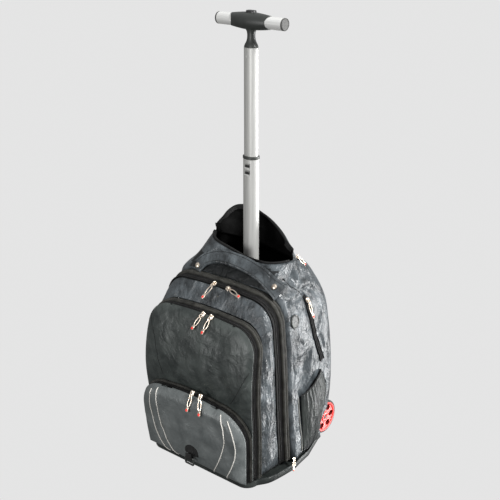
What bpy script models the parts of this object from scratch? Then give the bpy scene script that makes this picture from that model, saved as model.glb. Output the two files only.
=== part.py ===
"""Wheeled backpack with its trolley pole pulled out, standing on its base and wheels.

Metres, +Z up, +X to the wearer's left, the zipped front faces -Y. The floor is Z = 0.
Depths along Y are given from the pole's axis and moved by POLE_Y, which centres the object.
"""

import math

import bmesh
import bpy
import numpy as np
from mathutils import Matrix, Vector

# Clearances between pieces
GAP = 0.0003
SEAT = 0.0007
RIM_CLEARANCE = 0.0012

# The bag
POLE_Y = 0.0458
BASE_TOP = 0.0165
BASE_WALL = 0.0025
MOUTH_HEIGHT = 0.480
RIM_LIFT = 0.015
RIM_DROP = 0.030
HALF_WIDTH = 0.168
BODY_DEPTH = 0.190
BODY_BACK = 0.110
CLOTH = 0.0022
POCKET_WALL = 0.0014
FRONT_CORNER = 0.012

# Hood behind the pole
HOOD_RISE = 0.063
HOOD_ZIP_STEP = 0.008

# Layers on the front: half widths and heights of their arched outlines
MIDDLE_HALF_WIDTH = 0.163
MIDDLE_TOP = 0.423
FRONT_HALF_WIDTH = 0.156
FRONT_TOP = 0.372
POCKET_HALF_WIDTH = 0.1535
POCKET_TOP = 0.192
LAYER_DEPTH = 0.100

# Zips and their bound edges
MIDDLE_BINDING = 0.017
MIDDLE_ZIP = 0.018
FRONT_BINDING = 0.013
FRONT_ZIP = 0.013
POCKET_BINDING = 0.006
POCKET_ZIP = 0.009
POCKET_SEAT = 0.0012
BINDING_PROUD = 0.0045
TAPE = 0.0016
COIL_PROUD = 0.0014
ZIP_INSET = 0.001
MIDDLE_ZIP_INSET = 0.0025

# Trolley: oval tubes given by half width and half depth
UPPER_HALF_WIDTH = 0.0165
UPPER_HALF_DEPTH = 0.0120
TUBE_WALL = 0.0015
TUBE_FIT = 0.0004
GUIDE_WALL = 0.0020
GUIDE_TOP = 0.440
LOWER_TOP = 0.681
LOWER_LENGTH = 0.325
UPPER_TOP = 0.930
UPPER_LENGTH = 0.312
COLLAR_HEIGHT = 0.006
SLOT_WIDTH = 0.009
SLOT_HEIGHT = 0.006
SLOT_DROPS = (0.020, 0.035)

# T handle
GRIP_HEIGHT = 0.979
GRIP_RADIUS = 0.0130
GRIP_END = 0.093
HUB_HALF_LENGTH = 0.044
HUB_SADDLE = 0.007
HUB_SWELL = 0.0045
NECK_HALF_WIDTH = 0.0085
BUTTON_HALF_LENGTH = 0.0115
BUTTON_HALF_WIDTH = 0.0065
BUTTON_PROUD = 0.0035
BUTTON_TRAVEL = 0.003

# Wheels
WHEEL_RADIUS = 0.0415
WHEEL_WIDTH = 0.022
WHEEL_FACE_X = 0.147
WHEEL_Y = 0.106
TYRE_THICKNESS = 0.0050
HUB_HOLES = 6
HUB_HOLE_RADIUS = 0.0062
HUB_HOLE_STRETCH = 1.08
HUB_HOLE_CIRCLE = 0.0235
HUB_RECESS = 0.003
AXLE_RADIUS = 0.004
AXLE_FIT = 0.000095
AXLE_SIDES = 16
WELL_CLEARANCE = 0.0022
WELL_WALL = 0.0020

# Small pieces
PIPING_RADIUS = 0.0016
RIVET_RADIUS = 0.0062
RIVET_HEIGHT = 0.0026
PULL_LENGTH = 0.040
PULL_WIDTH = 0.0095
PULL_THICKNESS = 0.0022
GROMMET_HALF_WIDTH = 0.0125
GROMMET_HALF_HEIGHT = 0.0155
LOOP_WIDTH = 0.028
LOOP_HEIGHT = 0.020
LOOP_WIRE = 0.0042
LOOP_FIT = 0.0004
WEBBING = 0.0018
TAB_WIDTH = 0.0165
TAB_HEIGHT = 0.016

# Body sections from the base to the mouth. height: share of the way up; front_width and
# back_width: shares of HALF_WIDTH; front and back: shares of BODY_DEPTH forward of the back
# wall; corner: the back corner's radius as a share of HALF_WIDTH
BODY = (
    # height, front_width, back_width, front, back, corner
    (0.00, 1.010, 0.900, 0.740, 0.045, 0.20),
    (0.10, 1.015, 0.950, 0.790, 0.020, 0.20),
    (0.28, 1.010, 0.998, 0.862, 0.000, 0.19),
    (0.50, 1.000, 0.985, 0.915, 0.005, 0.19),
    (0.64, 0.990, 0.952, 0.943, 0.018, 0.21),
    (0.76, 0.960, 0.900, 0.972, 0.034, 0.24),
    (0.84, 0.893, 0.822, 0.992, 0.055, 0.27),
    (0.89, 0.825, 0.765, 1.000, 0.075, 0.30),
    (0.945, 0.725, 0.700, 0.893, 0.110, 0.33),
    (1.00, 0.655, 0.655, 0.782, 0.124, 0.35),
)

# Where the seams of the layers lie: shares of LAYER_DEPTH forward of the pole
SEAMS = (
    # height (share of MIDDLE_TOP), front zip, side width
    (0.00, 1.400, 0.990),
    (0.13, 1.560, 1.000),
    (0.33, 1.700, 1.005),
    (0.52, 1.800, 1.000),
    (0.69, 1.730, 0.985),
    (0.80, 1.640, 0.965),
    (0.88, 1.580, 0.955),
    (1.00, 1.540, 0.950),
)

# How far a layer's face stands in front of its rim, by the distance in from its outline
FACES = (
    # distance, front face, pocket face
    (0.000, 0.0000, 0.000),
    (0.004, 0.0040, 0.006),
    (0.012, 0.0080, 0.013),
    (0.030, 0.0105, 0.018),
    (0.060, 0.0125, 0.021),
    (0.150, 0.0140, 0.023),
)
# The front face is flatter behind the lower pocket. height: share of FRONT_TOP
BELLY = (
    # height, share of the face's depth
    (0.00, 0.30),
    (0.38, 0.35),
    (0.52, 0.50),
    (0.65, 0.95),
    (0.80, 1.05),
    (1.00, 0.80),
)
# Rings of a layer's face, as shares of the way in to its middle
FACE_RINGS = (0.0, 0.04, 0.13, 0.36, 0.72)
RIM_DEPTH = 0.002

# Broad folds and dents of the cloth: place on the side wall (y forward of the pole is
# negative, z up), reach along and across the fold, its slope in degrees, and its depth
SIDE_FOLDS = (
    # y, z, along, across, slope, depth
    (0.020, 0.405, 0.050, 0.011, -38, 0.0050),
    (-0.015, 0.385, 0.040, 0.010, -20, 0.0045),
    (0.045, 0.370, 0.035, 0.010, -60, 0.0030),
    (0.000, 0.290, 0.050, 0.012, 5, 0.0030),
    (-0.020, 0.235, 0.040, 0.013, 18, 0.0028),
    (0.085, 0.300, 0.060, 0.013, 80, 0.0025),
)
FRONT_DENTS = (
    # x, z, along, across, slope, depth
    (0.045, 0.330, 0.045, 0.016, -25, 0.0020),
    (-0.070, 0.300, 0.050, 0.020, 60, 0.0015),
    (0.085, 0.240, 0.060, 0.018, -55, 0.0020),
    (0.020, 0.130, 0.040, 0.022, -35, 0.0022),
    (0.110, 0.120, 0.040, 0.012, -50, 0.0020),
)

# Hood's free edge, left corner to right corner
HOOD = (
    # along, x (share of the mouth's half width), y (m from the pole), rise (share of HOOD_RISE)
    (0.00, -1.000, 0.004, 0.10),
    (0.10, -1.020, 0.020, 0.25),
    (0.25, -0.930, 0.045, 0.70),
    (0.38, -0.680, 0.058, 0.97),
    (0.50, -0.260, 0.060, 0.94),
    (0.62, 0.120, 0.056, 0.72),
    (0.74, 0.440, 0.047, 0.46),
    (0.85, 0.720, 0.033, 0.22),
    (0.93, 0.900, 0.018, 0.12),
    (1.00, 1.000, 0.004, 0.08),
)

# Carry handle, from the middle out to one end
CARRY_HALF_SPAN = 0.127
CARRY_HEIGHT = 0.474
CARRY = (
    # out (share of half span), y (m from the pole), drop from the top, half width, half thickness
    (0.00, -0.066, 0.000, 0.0170, 0.0052),
    (0.25, -0.066, 0.003, 0.0170, 0.0052),
    (0.50, -0.0685, 0.011, 0.0165, 0.0048),
    (0.70, -0.0735, 0.022, 0.0165, 0.0038),
    (0.84, -0.0810, 0.032, 0.0170, 0.0020),
    (0.93, -0.0833, 0.039, 0.0175, 0.0014),
    (1.00, -0.0869, 0.045, 0.0180, 0.0013),
)

# Shoulder strap on the back, top to bottom
STRAPS = (
    # z (share of MOUTH_HEIGHT), x (share of HALF_WIDTH), stand off, half width, half thickness
    (0.800, 0.29, 0.0062, 0.026, 0.0050),
    (0.700, 0.33, 0.0130, 0.029, 0.0055),
    (0.560, 0.40, 0.0190, 0.029, 0.0055),
    (0.420, 0.49, 0.0200, 0.025, 0.0048),
    (0.300, 0.58, 0.0160, 0.015, 0.0016),
    (0.210, 0.63, 0.0080, 0.012, 0.0012),
    (0.155, 0.66, 0.0022, 0.012, 0.0012),
)
PAD_HALF_WIDTH = 0.116
PAD_LOW = 0.055
PAD_HIGH = 0.410
PAD_THICKNESS = 0.009

# Mesh sizes
BODY_LEVELS = 11
ARCH_SIDE = 5
ARCH_CORNER = 4
ARCH_TOP = 4
ARCH_FLOOR = 4
OVAL_SIDES = 16
HANDLE_SIDES = 14
WHEEL_SIDES = 18


def smooth(table, column, share):
    """A smooth run through one column of a table, held at its ends."""
    xs = np.array([row[0] for row in table])
    ys = np.array([row[column] for row in table])
    slopes = np.gradient(ys, xs)
    share = min(max(share, xs[0]), xs[-1])
    i = min(max(int(np.searchsorted(xs, share)) - 1, 0), len(xs) - 2)
    h = xs[i + 1] - xs[i]
    t = (share - xs[i]) / h
    start = (2 * t**3 - 3 * t**2 + 1) * ys[i] + (t**3 - 2 * t**2 + t) * h * slopes[i]
    end = (3 * t**2 - 2 * t**3) * ys[i + 1] + (t**3 - t**2) * h * slopes[i + 1]
    return float(start + end)


def world(x, y, z):
    """A point whose y is measured from the pole's axis."""
    return Vector((x, y + POLE_Y, z))


# Materials


def material(name, colour, roughness, metallic=0.0):
    made = bpy.data.materials.get(name) or bpy.data.materials.new(name)
    made.use_nodes = True
    shader = made.node_tree.nodes["Principled BSDF"]
    shader.inputs["Base Color"].default_value = (*colour, 1.0)
    shader.inputs["Roughness"].default_value = roughness
    shader.inputs["Metallic"].default_value = metallic
    return made


def satin(name):
    return material(name, (0.085, 0.100, 0.115), 0.55)


def charcoal(name):
    return material(name, (0.048, 0.056, 0.058), 0.80)


def black_tape(name):
    return material(name, (0.010, 0.010, 0.010), 0.75)


def bound_edge(name):
    return material(name, (0.090, 0.085, 0.076), 0.70)


def aluminium(name):
    return material(name, (0.62, 0.62, 0.60), 0.30, 1.0)


def black_plastic(name):
    return material(name, (0.020, 0.021, 0.020), 0.40)


def pull_metal(name):
    return material(name, (0.75, 0.66, 0.56), 0.30, 1.0)


def reflective(name):
    return material(name, (0.55, 0.53, 0.49), 0.45)


# Mesh making


def parts_collection():
    return bpy.data.collections["wheeled_backpack"]


def add_object(name, mesh, finish, collection=None):
    made = bpy.data.objects.new(name, mesh)
    (collection or parts_collection()).objects.link(made)
    if finish:
        made.data.materials.append(finish)
    return made


def shade(mesh, angle=35):
    mesh.shade_smooth()
    mesh.set_sharp_from_angle(angle=math.radians(angle))


def loft_mesh(name, rings, closed=True, caps=(False, False), centres=None):
    """Quads between rings of equal length; caps fills the first and the last ring.

    Centres gives the two caps a middle point each, for an end that isn't flat.
    """
    bm = bmesh.new()
    rows = [[bm.verts.new(point) for point in ring] for ring in rings]
    count = len(rows[0])
    for low, high in zip(rows, rows[1:]):
        for i in range(count if closed else count - 1):
            j = (i + 1) % count
            bm.faces.new((low[i], low[j], high[j], high[i]))
    if centres:
        for row, centre in zip((rows[0], rows[-1]), centres):
            middle = bm.verts.new(centre)
            for i in range(count):
                bm.faces.new((row[i], row[(i + 1) % count], middle))
    if caps[0]:
        bm.faces.new(list(reversed(rows[0])))
    if caps[1]:
        bm.faces.new(rows[-1])
    mesh = bpy.data.meshes.new(name)
    bm.to_mesh(mesh)
    bm.free()
    return mesh


def solid(name, rings, finish, collection=None, centres=None):
    """A closed loft, facing out."""
    flat = centres is None
    mesh = loft_mesh(name, rings, caps=(flat, flat), centres=centres)
    bm = bmesh.new()
    bm.from_mesh(mesh)
    bmesh.ops.recalc_face_normals(bm, faces=bm.faces)
    bm.to_mesh(mesh)
    bm.free()
    shade(mesh)
    return add_object(name, mesh, finish, collection)


def wall(name, mesh, thickness, finish, side=-1.0):
    """An open surface given a wall; side -1 puts the wall behind the faces."""
    shade(mesh, 60)
    made = add_object(name, mesh, finish)
    modifier = made.modifiers.new("wall", "SOLIDIFY")
    modifier.thickness = thickness
    modifier.offset = side
    modifier.use_even_offset = True
    modifier.thickness_clamp = 1.0
    return made


def boolean(target, cutter, operation):
    modifier = target.modifiers.new(operation.lower(), "BOOLEAN")
    modifier.object = cutter
    modifier.operation = operation
    modifier.solver = "EXACT"


def cutter(made):
    """Moves a shape to the guides, where it only cuts."""
    made.hide_render = True
    made.display_type = "WIRE"
    return made


def baked(made):
    """A mesh with the object's modifiers and place applied; the object goes."""
    graph = bpy.context.evaluated_depsgraph_get()
    mesh = bpy.data.meshes.new_from_object(made.evaluated_get(graph))
    mesh.transform(made.matrix_world)
    bpy.data.objects.remove(made)
    return mesh


def turned(name, profile, steps, finish, matrix, collection=None):
    """Revolves (radius, along) points about the matrix's Z axis."""
    rings = []
    for radius, along in profile:
        ring = []
        for k in range(steps):
            angle = 2 * math.pi * k / steps
            ring.append(Vector((radius * math.cos(angle), radius * math.sin(angle), along)))
        rings.append(ring)
    made = solid(name, rings, finish, collection)
    made.matrix_world = matrix
    return made


def oval(half_width, half_depth, count=OVAL_SIDES, power=2.5):
    """Points of a rounded oval in XY."""
    points = []
    for k in range(count):
        angle = 2 * math.pi * k / count
        c, s = math.cos(angle), math.sin(angle)
        x = half_width * math.copysign(abs(c) ** (2 / power), c)
        y = half_depth * math.copysign(abs(s) ** (2 / power), s)
        points.append((x, y))
    return points


# The main body


def body_section(z):
    """The body's horizontal section at z: half widths, front, back and corner, from the pole."""
    share = (z - BASE_TOP) / (MOUTH_HEIGHT - BASE_TOP)
    front_width = smooth(BODY, 1, share) * HALF_WIDTH
    back_width = smooth(BODY, 2, share) * HALF_WIDTH
    front = BODY_BACK - smooth(BODY, 3, share) * BODY_DEPTH
    back = BODY_BACK - smooth(BODY, 4, share) * BODY_DEPTH
    corner = smooth(BODY, 5, share) * HALF_WIDTH
    return front_width, back_width, front, back, corner


def front_corner(z):
    """The front corner's radius, which opens out from the shoulders to the mouth."""
    share = (z - BASE_TOP) / (MOUTH_HEIGHT - BASE_TOP)
    opening = max(0.0, (share - 0.86) / 0.14)
    return FRONT_CORNER + opening * (0.33 * HALF_WIDTH - FRONT_CORNER)


def fold_depth(folds, across, up):
    """How far the folds push the cloth in at a place on a wall."""
    depth = 0.0
    for at, z, along, width, slope, deep in folds:
        angle = math.radians(slope)
        u = (across - at) * math.cos(angle) + (up - z) * math.sin(angle)
        v = (up - z) * math.cos(angle) - (across - at) * math.sin(angle)
        depth += deep * math.exp(-((u / along) ** 2) - (v / width) ** 2)
    return depth


def side_x(y, z):
    """The outer face of the body's side wall."""
    front_width, back_width, front, back, _ = body_section(z)
    share = (y - front) / (back - front)
    return front_width + (back_width - front_width) * share


def body_ring(z, sides=5, fronts=4):
    """One closed section, from the middle of the front round by +X."""
    front_width, back_width, front, back, back_radius = body_section(z)
    front_radius = front_corner(z)
    half = []
    for k in range(fronts // 2):
        half.append((2 * k / fronts * (front_width - front_radius), front))
    for k in range(4):
        angle = math.pi / 2 * k / 3
        x = front_width - front_radius + front_radius * math.sin(angle)
        y = front + front_radius - front_radius * math.cos(angle)
        half.append((x, y))
    low, high = front + front_radius, back - back_radius
    for k in range(1, sides):
        y = low + (high - low) * k / sides
        x = front_width + (back_width - front_width) * (y - front) / (back - front)
        half.append((x - fold_depth(SIDE_FOLDS, y, z), y))
    corner_width = front_width + (back_width - front_width) * (high - front) / (back - front)
    for k in range(4):
        angle = math.pi / 2 * k / 3
        x = corner_width - back_radius + back_radius * math.cos(angle)
        half.append((x, high + back_radius * math.sin(angle)))
    half.append((0.5 * (corner_width - back_radius), back))
    middle = (0.0, back)
    left = [(-x, y) for x, y in reversed(half[1:])]
    return half + [middle] + left


def rim_height(x, y):
    """The mouth's edge: low in front, high at the sides, falling to the back."""
    front_width, _, front, back, _ = body_section(MOUTH_HEIGHT)
    side_y = front + 0.4 * (back - front)
    if y < side_y:
        return MOUTH_HEIGHT + RIM_LIFT * (x / front_width) ** 2
    return MOUTH_HEIGHT + RIM_LIFT - RIM_DROP * (y - side_y) / (back - side_y)


def wheel_matrix(side, x):
    """Z along the axle, pointing out of the bag."""
    turn = Matrix.Rotation(side * math.pi / 2, 4, "Y")
    return Matrix.Translation(world(side * x, WHEEL_Y, WHEEL_RADIUS)) @ turn


def well_radius():
    return WHEEL_RADIUS + WELL_CLEARANCE


def wheel_cutters():
    """Cylinders that clear the wheels and their housings out of the bag."""
    inner = WHEEL_FACE_X - WHEEL_WIDTH - WELL_CLEARANCE - WELL_WALL - SEAT
    radius = well_radius() + WELL_WALL + SEAT
    made = []
    for side, word in ((1, "left"), (-1, "right")):
        profile = ((radius, 0.0), (radius, HALF_WIDTH))
        shape = turned(
            "well_cut_" + word, profile, 32, None, wheel_matrix(side, inner),
            bpy.data.collections["guides"],
        )
        made.append(cutter(shape))
    return made


def main_body(cutters):
    rings = []
    floor = BASE_TOP + GAP
    for k in range(BODY_LEVELS + 1):
        z = floor + (MOUTH_HEIGHT - floor) * (k / BODY_LEVELS)
        ring = body_ring(z)
        if k == BODY_LEVELS:
            rings.append([world(x, y, rim_height(x, y)) for x, y in ring])
        elif k == BODY_LEVELS - 1:
            rings.append([world(x, y, z + 0.4 * (rim_height(x, y) - MOUTH_HEIGHT)) for x, y in ring])
        else:
            rings.append([world(x, y, z) for x, y in ring])
    mesh = loft_mesh("main_body", rings, caps=(True, False))
    made = wall("main_body", mesh, CLOTH, satin("body_cloth"))
    for cut in cutters:
        boolean(made, cut, "DIFFERENCE")


def base_tray(cutters):
    """The floor of the bag: a shallow tray under the body and the front layers."""
    outline = []
    front_width, back_width, _, back, radius = body_section(BASE_TOP)
    nose = pocket_face(0.0, BASE_TOP) + 0.004
    nose_width = FRONT_HALF_WIDTH
    for k in range(3):
        outline.append((k / 2 * (nose_width - 0.02), nose))
    for k in range(1, 4):
        angle = math.pi / 2 * k / 3
        outline.append((nose_width - 0.02 + 0.02 * math.sin(angle), nose + 0.02 - 0.02 * math.cos(angle)))
    outline.append((0.5 * (nose_width + front_width) + 0.003, 0.5 * (nose - 0.06)))
    outline.append((front_width + 0.001, -0.055))
    outline.append((front_width, -0.010))
    for k in range(4):
        angle = math.pi / 2 * k / 3
        x = back_width - radius + radius * math.cos(angle)
        outline.append((x, back - radius + radius * math.sin(angle)))
    outline.append((0.5 * (back_width - radius), back))
    outline.append((0.0, back))
    full = outline + [(-x, y) for x, y in reversed(outline[1:-1])]
    low = [world(0.985 * x, 0.985 * y, 0.0) for x, y in full]
    rings = [low]
    for z in (0.005, BASE_TOP):
        rings.append([world(x, y, z) for x, y in full])
    mesh = loft_mesh("base_tray", rings, caps=(True, False))
    made = wall("base_tray", mesh, BASE_WALL, black_plastic("base_cloth"))
    for cut in cutters:
        boolean(made, cut, "DIFFERENCE")


def mouth_back():
    """The points of the mouth's edge that carry the hood, from the right round the back."""
    mouth = body_section(MOUTH_HEIGHT)
    ring = body_ring(MOUTH_HEIGHT)
    side_y = mouth[2] + 0.4 * (mouth[3] - mouth[2])
    start = [p for p in ring if p[1] >= side_y]
    return sorted(start, key=lambda p: math.atan2(p[0], p[1] - 0.2 * mouth[3]))


def hood():
    """The soft flap behind the pole, from the mouth's back edge up to its own free edge."""
    rows = 3
    start = mouth_back()
    lengths = [0.0]
    for a, b in zip(start, start[1:]):
        lengths.append(lengths[-1] + math.dist(a, b))
    half_width = body_section(MOUTH_HEIGHT)[0]
    rings = []
    for r in range(rows + 1):
        t = r / rows
        row = []
        for (x0, y0), length in zip(start, lengths):
            u = length / lengths[-1]
            z0 = rim_height(x0, y0) + SEAT
            x1 = smooth(HOOD, 1, u) * half_width
            y1 = smooth(HOOD, 2, u)
            z1 = MOUTH_HEIGHT + RIM_LIFT + smooth(HOOD, 3, u) * HOOD_RISE
            out = 0.010 * math.sin(math.pi * t) * math.sin(math.pi * u)
            lift = 1 - (1 - t) ** 1.6
            x = x0 + (x1 - x0) * t
            row.append(world(x, y0 + (y1 - y0) * t**1.5 + out, z0 + (z1 - z0) * lift))
        rings.append(row)
    mesh = loft_mesh("hood", rings, closed=False)
    wall("hood", mesh, CLOTH, satin("hood_cloth"), -1.0)
    return rings[-2:]


# The layers on the front


def arch(half_width, top, corner_width, corner_height, crown):
    """The named shape of one arched outline."""
    return {
        "half_width": half_width,
        "top": top,
        "corner_width": corner_width,
        "corner_height": corner_height,
        "crown": crown,
    }


def shrunk(shape, inset):
    return arch(
        shape["half_width"] - inset,
        shape["top"] - inset,
        max(shape["corner_width"] - 0.6 * inset, 0.006),
        max(shape["corner_height"] - 0.6 * inset, 0.006),
        shape["crown"],
    )


MIDDLE_ARCH = arch(MIDDLE_HALF_WIDTH, MIDDLE_TOP, 0.062, 0.062, 0.004)
FRONT_ARCH = arch(FRONT_HALF_WIDTH, FRONT_TOP, 0.060, 0.056, 0.004)
POCKET_ARCH = arch(POCKET_HALF_WIDTH, POCKET_TOP, 0.076, 0.070, 0.006)


def side_share(z):
    return smooth(SEAMS, 2, z / MIDDLE_TOP)


def arch_points(shape, low):
    """The outline from the left foot over the top to the right foot, as (x, z)."""
    start = shape["top"] - shape["crown"] - shape["corner_height"]
    inner = shape["half_width"] * side_share(start) - shape["corner_width"]
    right = []
    for k in range(ARCH_SIDE):
        z = low + (start - low) * k / ARCH_SIDE
        right.append((shape["half_width"] * side_share(z), z))
    for k in range(ARCH_CORNER + 1):
        angle = math.pi / 2 * k / ARCH_CORNER
        x = inner + shape["corner_width"] * math.cos(angle)
        right.append((x, start + shape["corner_height"] * math.sin(angle)))
    for k in range(1, ARCH_TOP // 2):
        share = 1 - 2 * k / ARCH_TOP
        right.append((inner * share, shape["top"] - shape["crown"] * share**2))
    left = [(-x, z) for x, z in right]
    return left + [(0.0, shape["top"])] + list(reversed(right))


def edge_distance(shape, x, z, low):
    """How far in from the outline a point lies."""
    x = abs(x)
    start = shape["top"] - shape["crown"] - shape["corner_height"]
    inner = shape["half_width"] * side_share(start) - shape["corner_width"]
    distance = min(shape["half_width"] * side_share(z) - x, z - low)
    crown = shape["crown"] * min(x / inner, 1.0) ** 2
    distance = min(distance, shape["top"] - crown - z)
    if x > inner and z > start:
        across = (x - inner) / shape["corner_width"]
        up = (z - start) / shape["corner_height"]
        distance = min(distance, (1 - math.hypot(across, up)) * shape["corner_width"])
    return max(distance, 0.0)


def body_front(z):
    """Where the middle compartment is sewn to the body."""
    return body_section(min(z, MIDDLE_TOP))[2]


def middle_rim(z):
    return body_front(z) - SEAT - MIDDLE_BINDING - MIDDLE_ZIP - 2 * GAP


def front_zip(z):
    """The middle of the front compartment's zip."""
    return -smooth(SEAMS, 1, z / MIDDLE_TOP) * LAYER_DEPTH


def front_seam(z):
    """Where the front compartment is sewn to the middle one."""
    return front_zip(z) + 0.5 * FRONT_ZIP + FRONT_BINDING + GAP


def front_rim(z):
    return front_zip(z) - 0.5 * FRONT_ZIP - RIM_CLEARANCE


def layer_floor():
    return BASE_TOP + GAP


def front_face(x, z):
    """The front compartment's face, from the pole."""
    distance = edge_distance(FRONT_ARCH, x, z, layer_floor())
    depth = smooth(FACES, 1, distance) * smooth(BELLY, 1, z / FRONT_TOP)
    sunk = fold_depth(FRONT_DENTS, x, z) if distance > 0.012 else 0.0
    if z < POCKET_TOP + 0.01:
        sunk = 0.0
    return front_rim(z) - RIM_DEPTH - depth + sunk


def pocket_seam(x, z):
    return front_face(x, z) - POCKET_SEAT


def pocket_rim(x, z):
    return pocket_seam(x, z) - POCKET_BINDING - POCKET_ZIP - GAP - RIM_CLEARANCE


def pocket_face(x, z, dented=True):
    """The lower pocket's face, from the pole."""
    distance = edge_distance(POCKET_ARCH, x, z, layer_floor())
    sunk = fold_depth(FRONT_DENTS, x, z) if dented and distance > 0.012 else 0.0
    return pocket_rim(x, z) - RIM_DEPTH - smooth(FACES, 2, distance) + sunk


def closed_outline(shape, low, floors=ARCH_FLOOR):
    """The arch with its foot closed along the bottom."""
    points = arch_points(shape, low)
    left, right = points[0], points[-1]
    bottom = []
    for k in range(1, floors):
        share = k / floors
        bottom.append((right[0] + (left[0] - right[0]) * share, low))
    return points + bottom


def fill_face(bm, row, floors=ARCH_FLOOR):
    """Closes the innermost outline with strips that run from side to side."""
    arch_count = len(row) - (floors - 1)
    for k in range(ARCH_SIDE):
        right = arch_count - 1 - k
        bm.faces.new((row[k], row[k + 1], row[right - 1], row[right]))
    bm.faces.new(row[ARCH_SIDE : arch_count - ARCH_SIDE])
    bm.faces.new([row[0], row[arch_count - 1], *row[arch_count:]])


def dish(name, rings, finish, thickness=CLOTH):
    """An open-backed shell: the first ring is its rim, the last is filled."""
    bm = bmesh.new()
    rows = [[bm.verts.new(point) for point in ring] for ring in rings]
    count = len(rows[0])
    for low, high in zip(rows, rows[1:]):
        for i in range(count):
            j = (i + 1) % count
            bm.faces.new((low[i], low[j], high[j], high[i]))
    fill_face(bm, rows[-1])
    bmesh.ops.recalc_face_normals(bm, faces=bm.faces)
    for face in bm.faces:
        face.normal_update()
    mesh = bpy.data.meshes.new(name)
    bm.to_mesh(mesh)
    bm.free()
    lead = mesh.polygons[len(mesh.polygons) - ARCH_SIDE]
    if lead.normal.y > 0:
        mesh.flip_normals()
    wall(name, mesh, thickness, finish)


def faced_rings(shape, rim, face, low):
    rings = [[world(x, rim(x, z), z) for x, z in closed_outline(shape, low)]]
    reach = min(shape["half_width"], 0.5 * (shape["top"] - low))
    for share in FACE_RINGS:
        inset = share * reach
        outline = closed_outline(shrunk(shape, inset), low + inset)
        rings.append([world(x, face(x, z), z) for x, z in outline])
    return rings


def middle_compartment():
    low = layer_floor()
    rings = []
    back = arch(MIDDLE_HALF_WIDTH - 0.004, MIDDLE_TOP - 0.006, 0.060, 0.060, 0.004)
    front = arch(FRONT_HALF_WIDTH + 0.001, FRONT_TOP + 0.004, 0.061, 0.057, 0.004)
    steps = 4
    for k in range(steps + 1):
        share = k / steps
        bulge = 0.003 * math.sin(math.pi * share)
        outlines = zip(closed_outline(back, low), closed_outline(front, low))
        ring = []
        for (x0, z0), (x1, z1) in outlines:
            x = x0 + (x1 - x0) * share
            z = z0 + (z1 - z0) * share
            if z > low + 0.01:
                x += math.copysign(bulge, x) * min(1.0, abs(x) / (0.9 * FRONT_HALF_WIDTH))
                z += bulge * max(0.0, z / FRONT_TOP - 0.9)
            y = middle_rim(z) + (front_seam(z) - middle_rim(z)) * share
            ring.append(world(x, y, z))
        rings.append(ring)
    for inset in (0.02, 0.06):
        outline = closed_outline(shrunk(front, inset), low + inset)
        rings.append([world(x, front_seam(z) + 0.002, z) for x, z in outline])
    dish("middle_compartment", rings, satin("middle_cloth"))


def front_compartment():
    rings = faced_rings(FRONT_ARCH, lambda x, z: front_rim(z), front_face, layer_floor())
    dish("front_compartment", rings, charcoal("front_cloth"))


def lower_pocket():
    rings = faced_rings(POCKET_ARCH, pocket_rim, pocket_face, layer_floor())
    dish("lower_pocket", rings, charcoal("pocket_cloth"))


def binding_section(depth):
    """A bound edge: (forward, out) points of a half round roll."""
    out = BINDING_PROUD
    return (
        (0.0, -0.002),
        (0.0, 0.3 * out),
        (0.25 * depth, 0.9 * out),
        (0.70 * depth, out),
        (depth, 0.25 * out),
        (depth, -0.002),
    )


def zip_section(depth):
    """A zip: a flat tape with the coil standing along its middle."""
    return (
        (0.0, -TAPE),
        (0.0, 0.0),
        (0.50 * depth, COIL_PROUD),
        (depth, 0.0),
        (depth, -TAPE),
    )


def arch_band(name, shape, seam, section, finish, inset=0.0):
    """Sweeps a section of (forward, out) points along an arch, foot to foot."""
    points = arch_points(shape, layer_floor())
    rings = []
    for i, (x, z) in enumerate(points):
        before = points[max(i - 1, 0)]
        after = points[min(i + 1, len(points) - 1)]
        along = Vector((after[0] - before[0], after[1] - before[1])).normalized()
        out = (-along.y, along.x)
        ring = []
        for forward, proud in section:
            over = proud - inset
            ring.append(world(x + out[0] * over, seam(x, z) - forward, z + out[1] * over))
        rings.append(ring)
    solid(name, rings, finish)


def bands():
    """The bound edge and the zip round each of the three layers."""
    arch_band(
        "middle_binding", MIDDLE_ARCH, lambda x, z: body_front(z) - SEAT,
        binding_section(MIDDLE_BINDING), bound_edge("middle_binding"),
    )
    arch_band(
        "middle_zip", MIDDLE_ARCH, lambda x, z: body_front(z) - SEAT - MIDDLE_BINDING - GAP,
        zip_section(MIDDLE_ZIP), black_tape("middle_zip"), MIDDLE_ZIP_INSET,
    )
    arch_band(
        "front_binding", FRONT_ARCH, lambda x, z: front_seam(z) - GAP,
        binding_section(FRONT_BINDING - GAP), bound_edge("front_binding"),
    )
    arch_band(
        "front_zip", FRONT_ARCH, lambda x, z: front_zip(z) + 0.5 * FRONT_ZIP,
        zip_section(FRONT_ZIP), black_tape("front_zip"), ZIP_INSET,
    )
    arch_band(
        "pocket_binding", POCKET_ARCH, pocket_seam,
        binding_section(POCKET_BINDING), bound_edge("pocket_binding"),
    )
    arch_band(
        "pocket_zip", POCKET_ARCH, lambda x, z: pocket_seam(x, z) - POCKET_BINDING - GAP,
        zip_section(POCKET_ZIP), black_tape("pocket_zip"), ZIP_INSET,
    )


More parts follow.
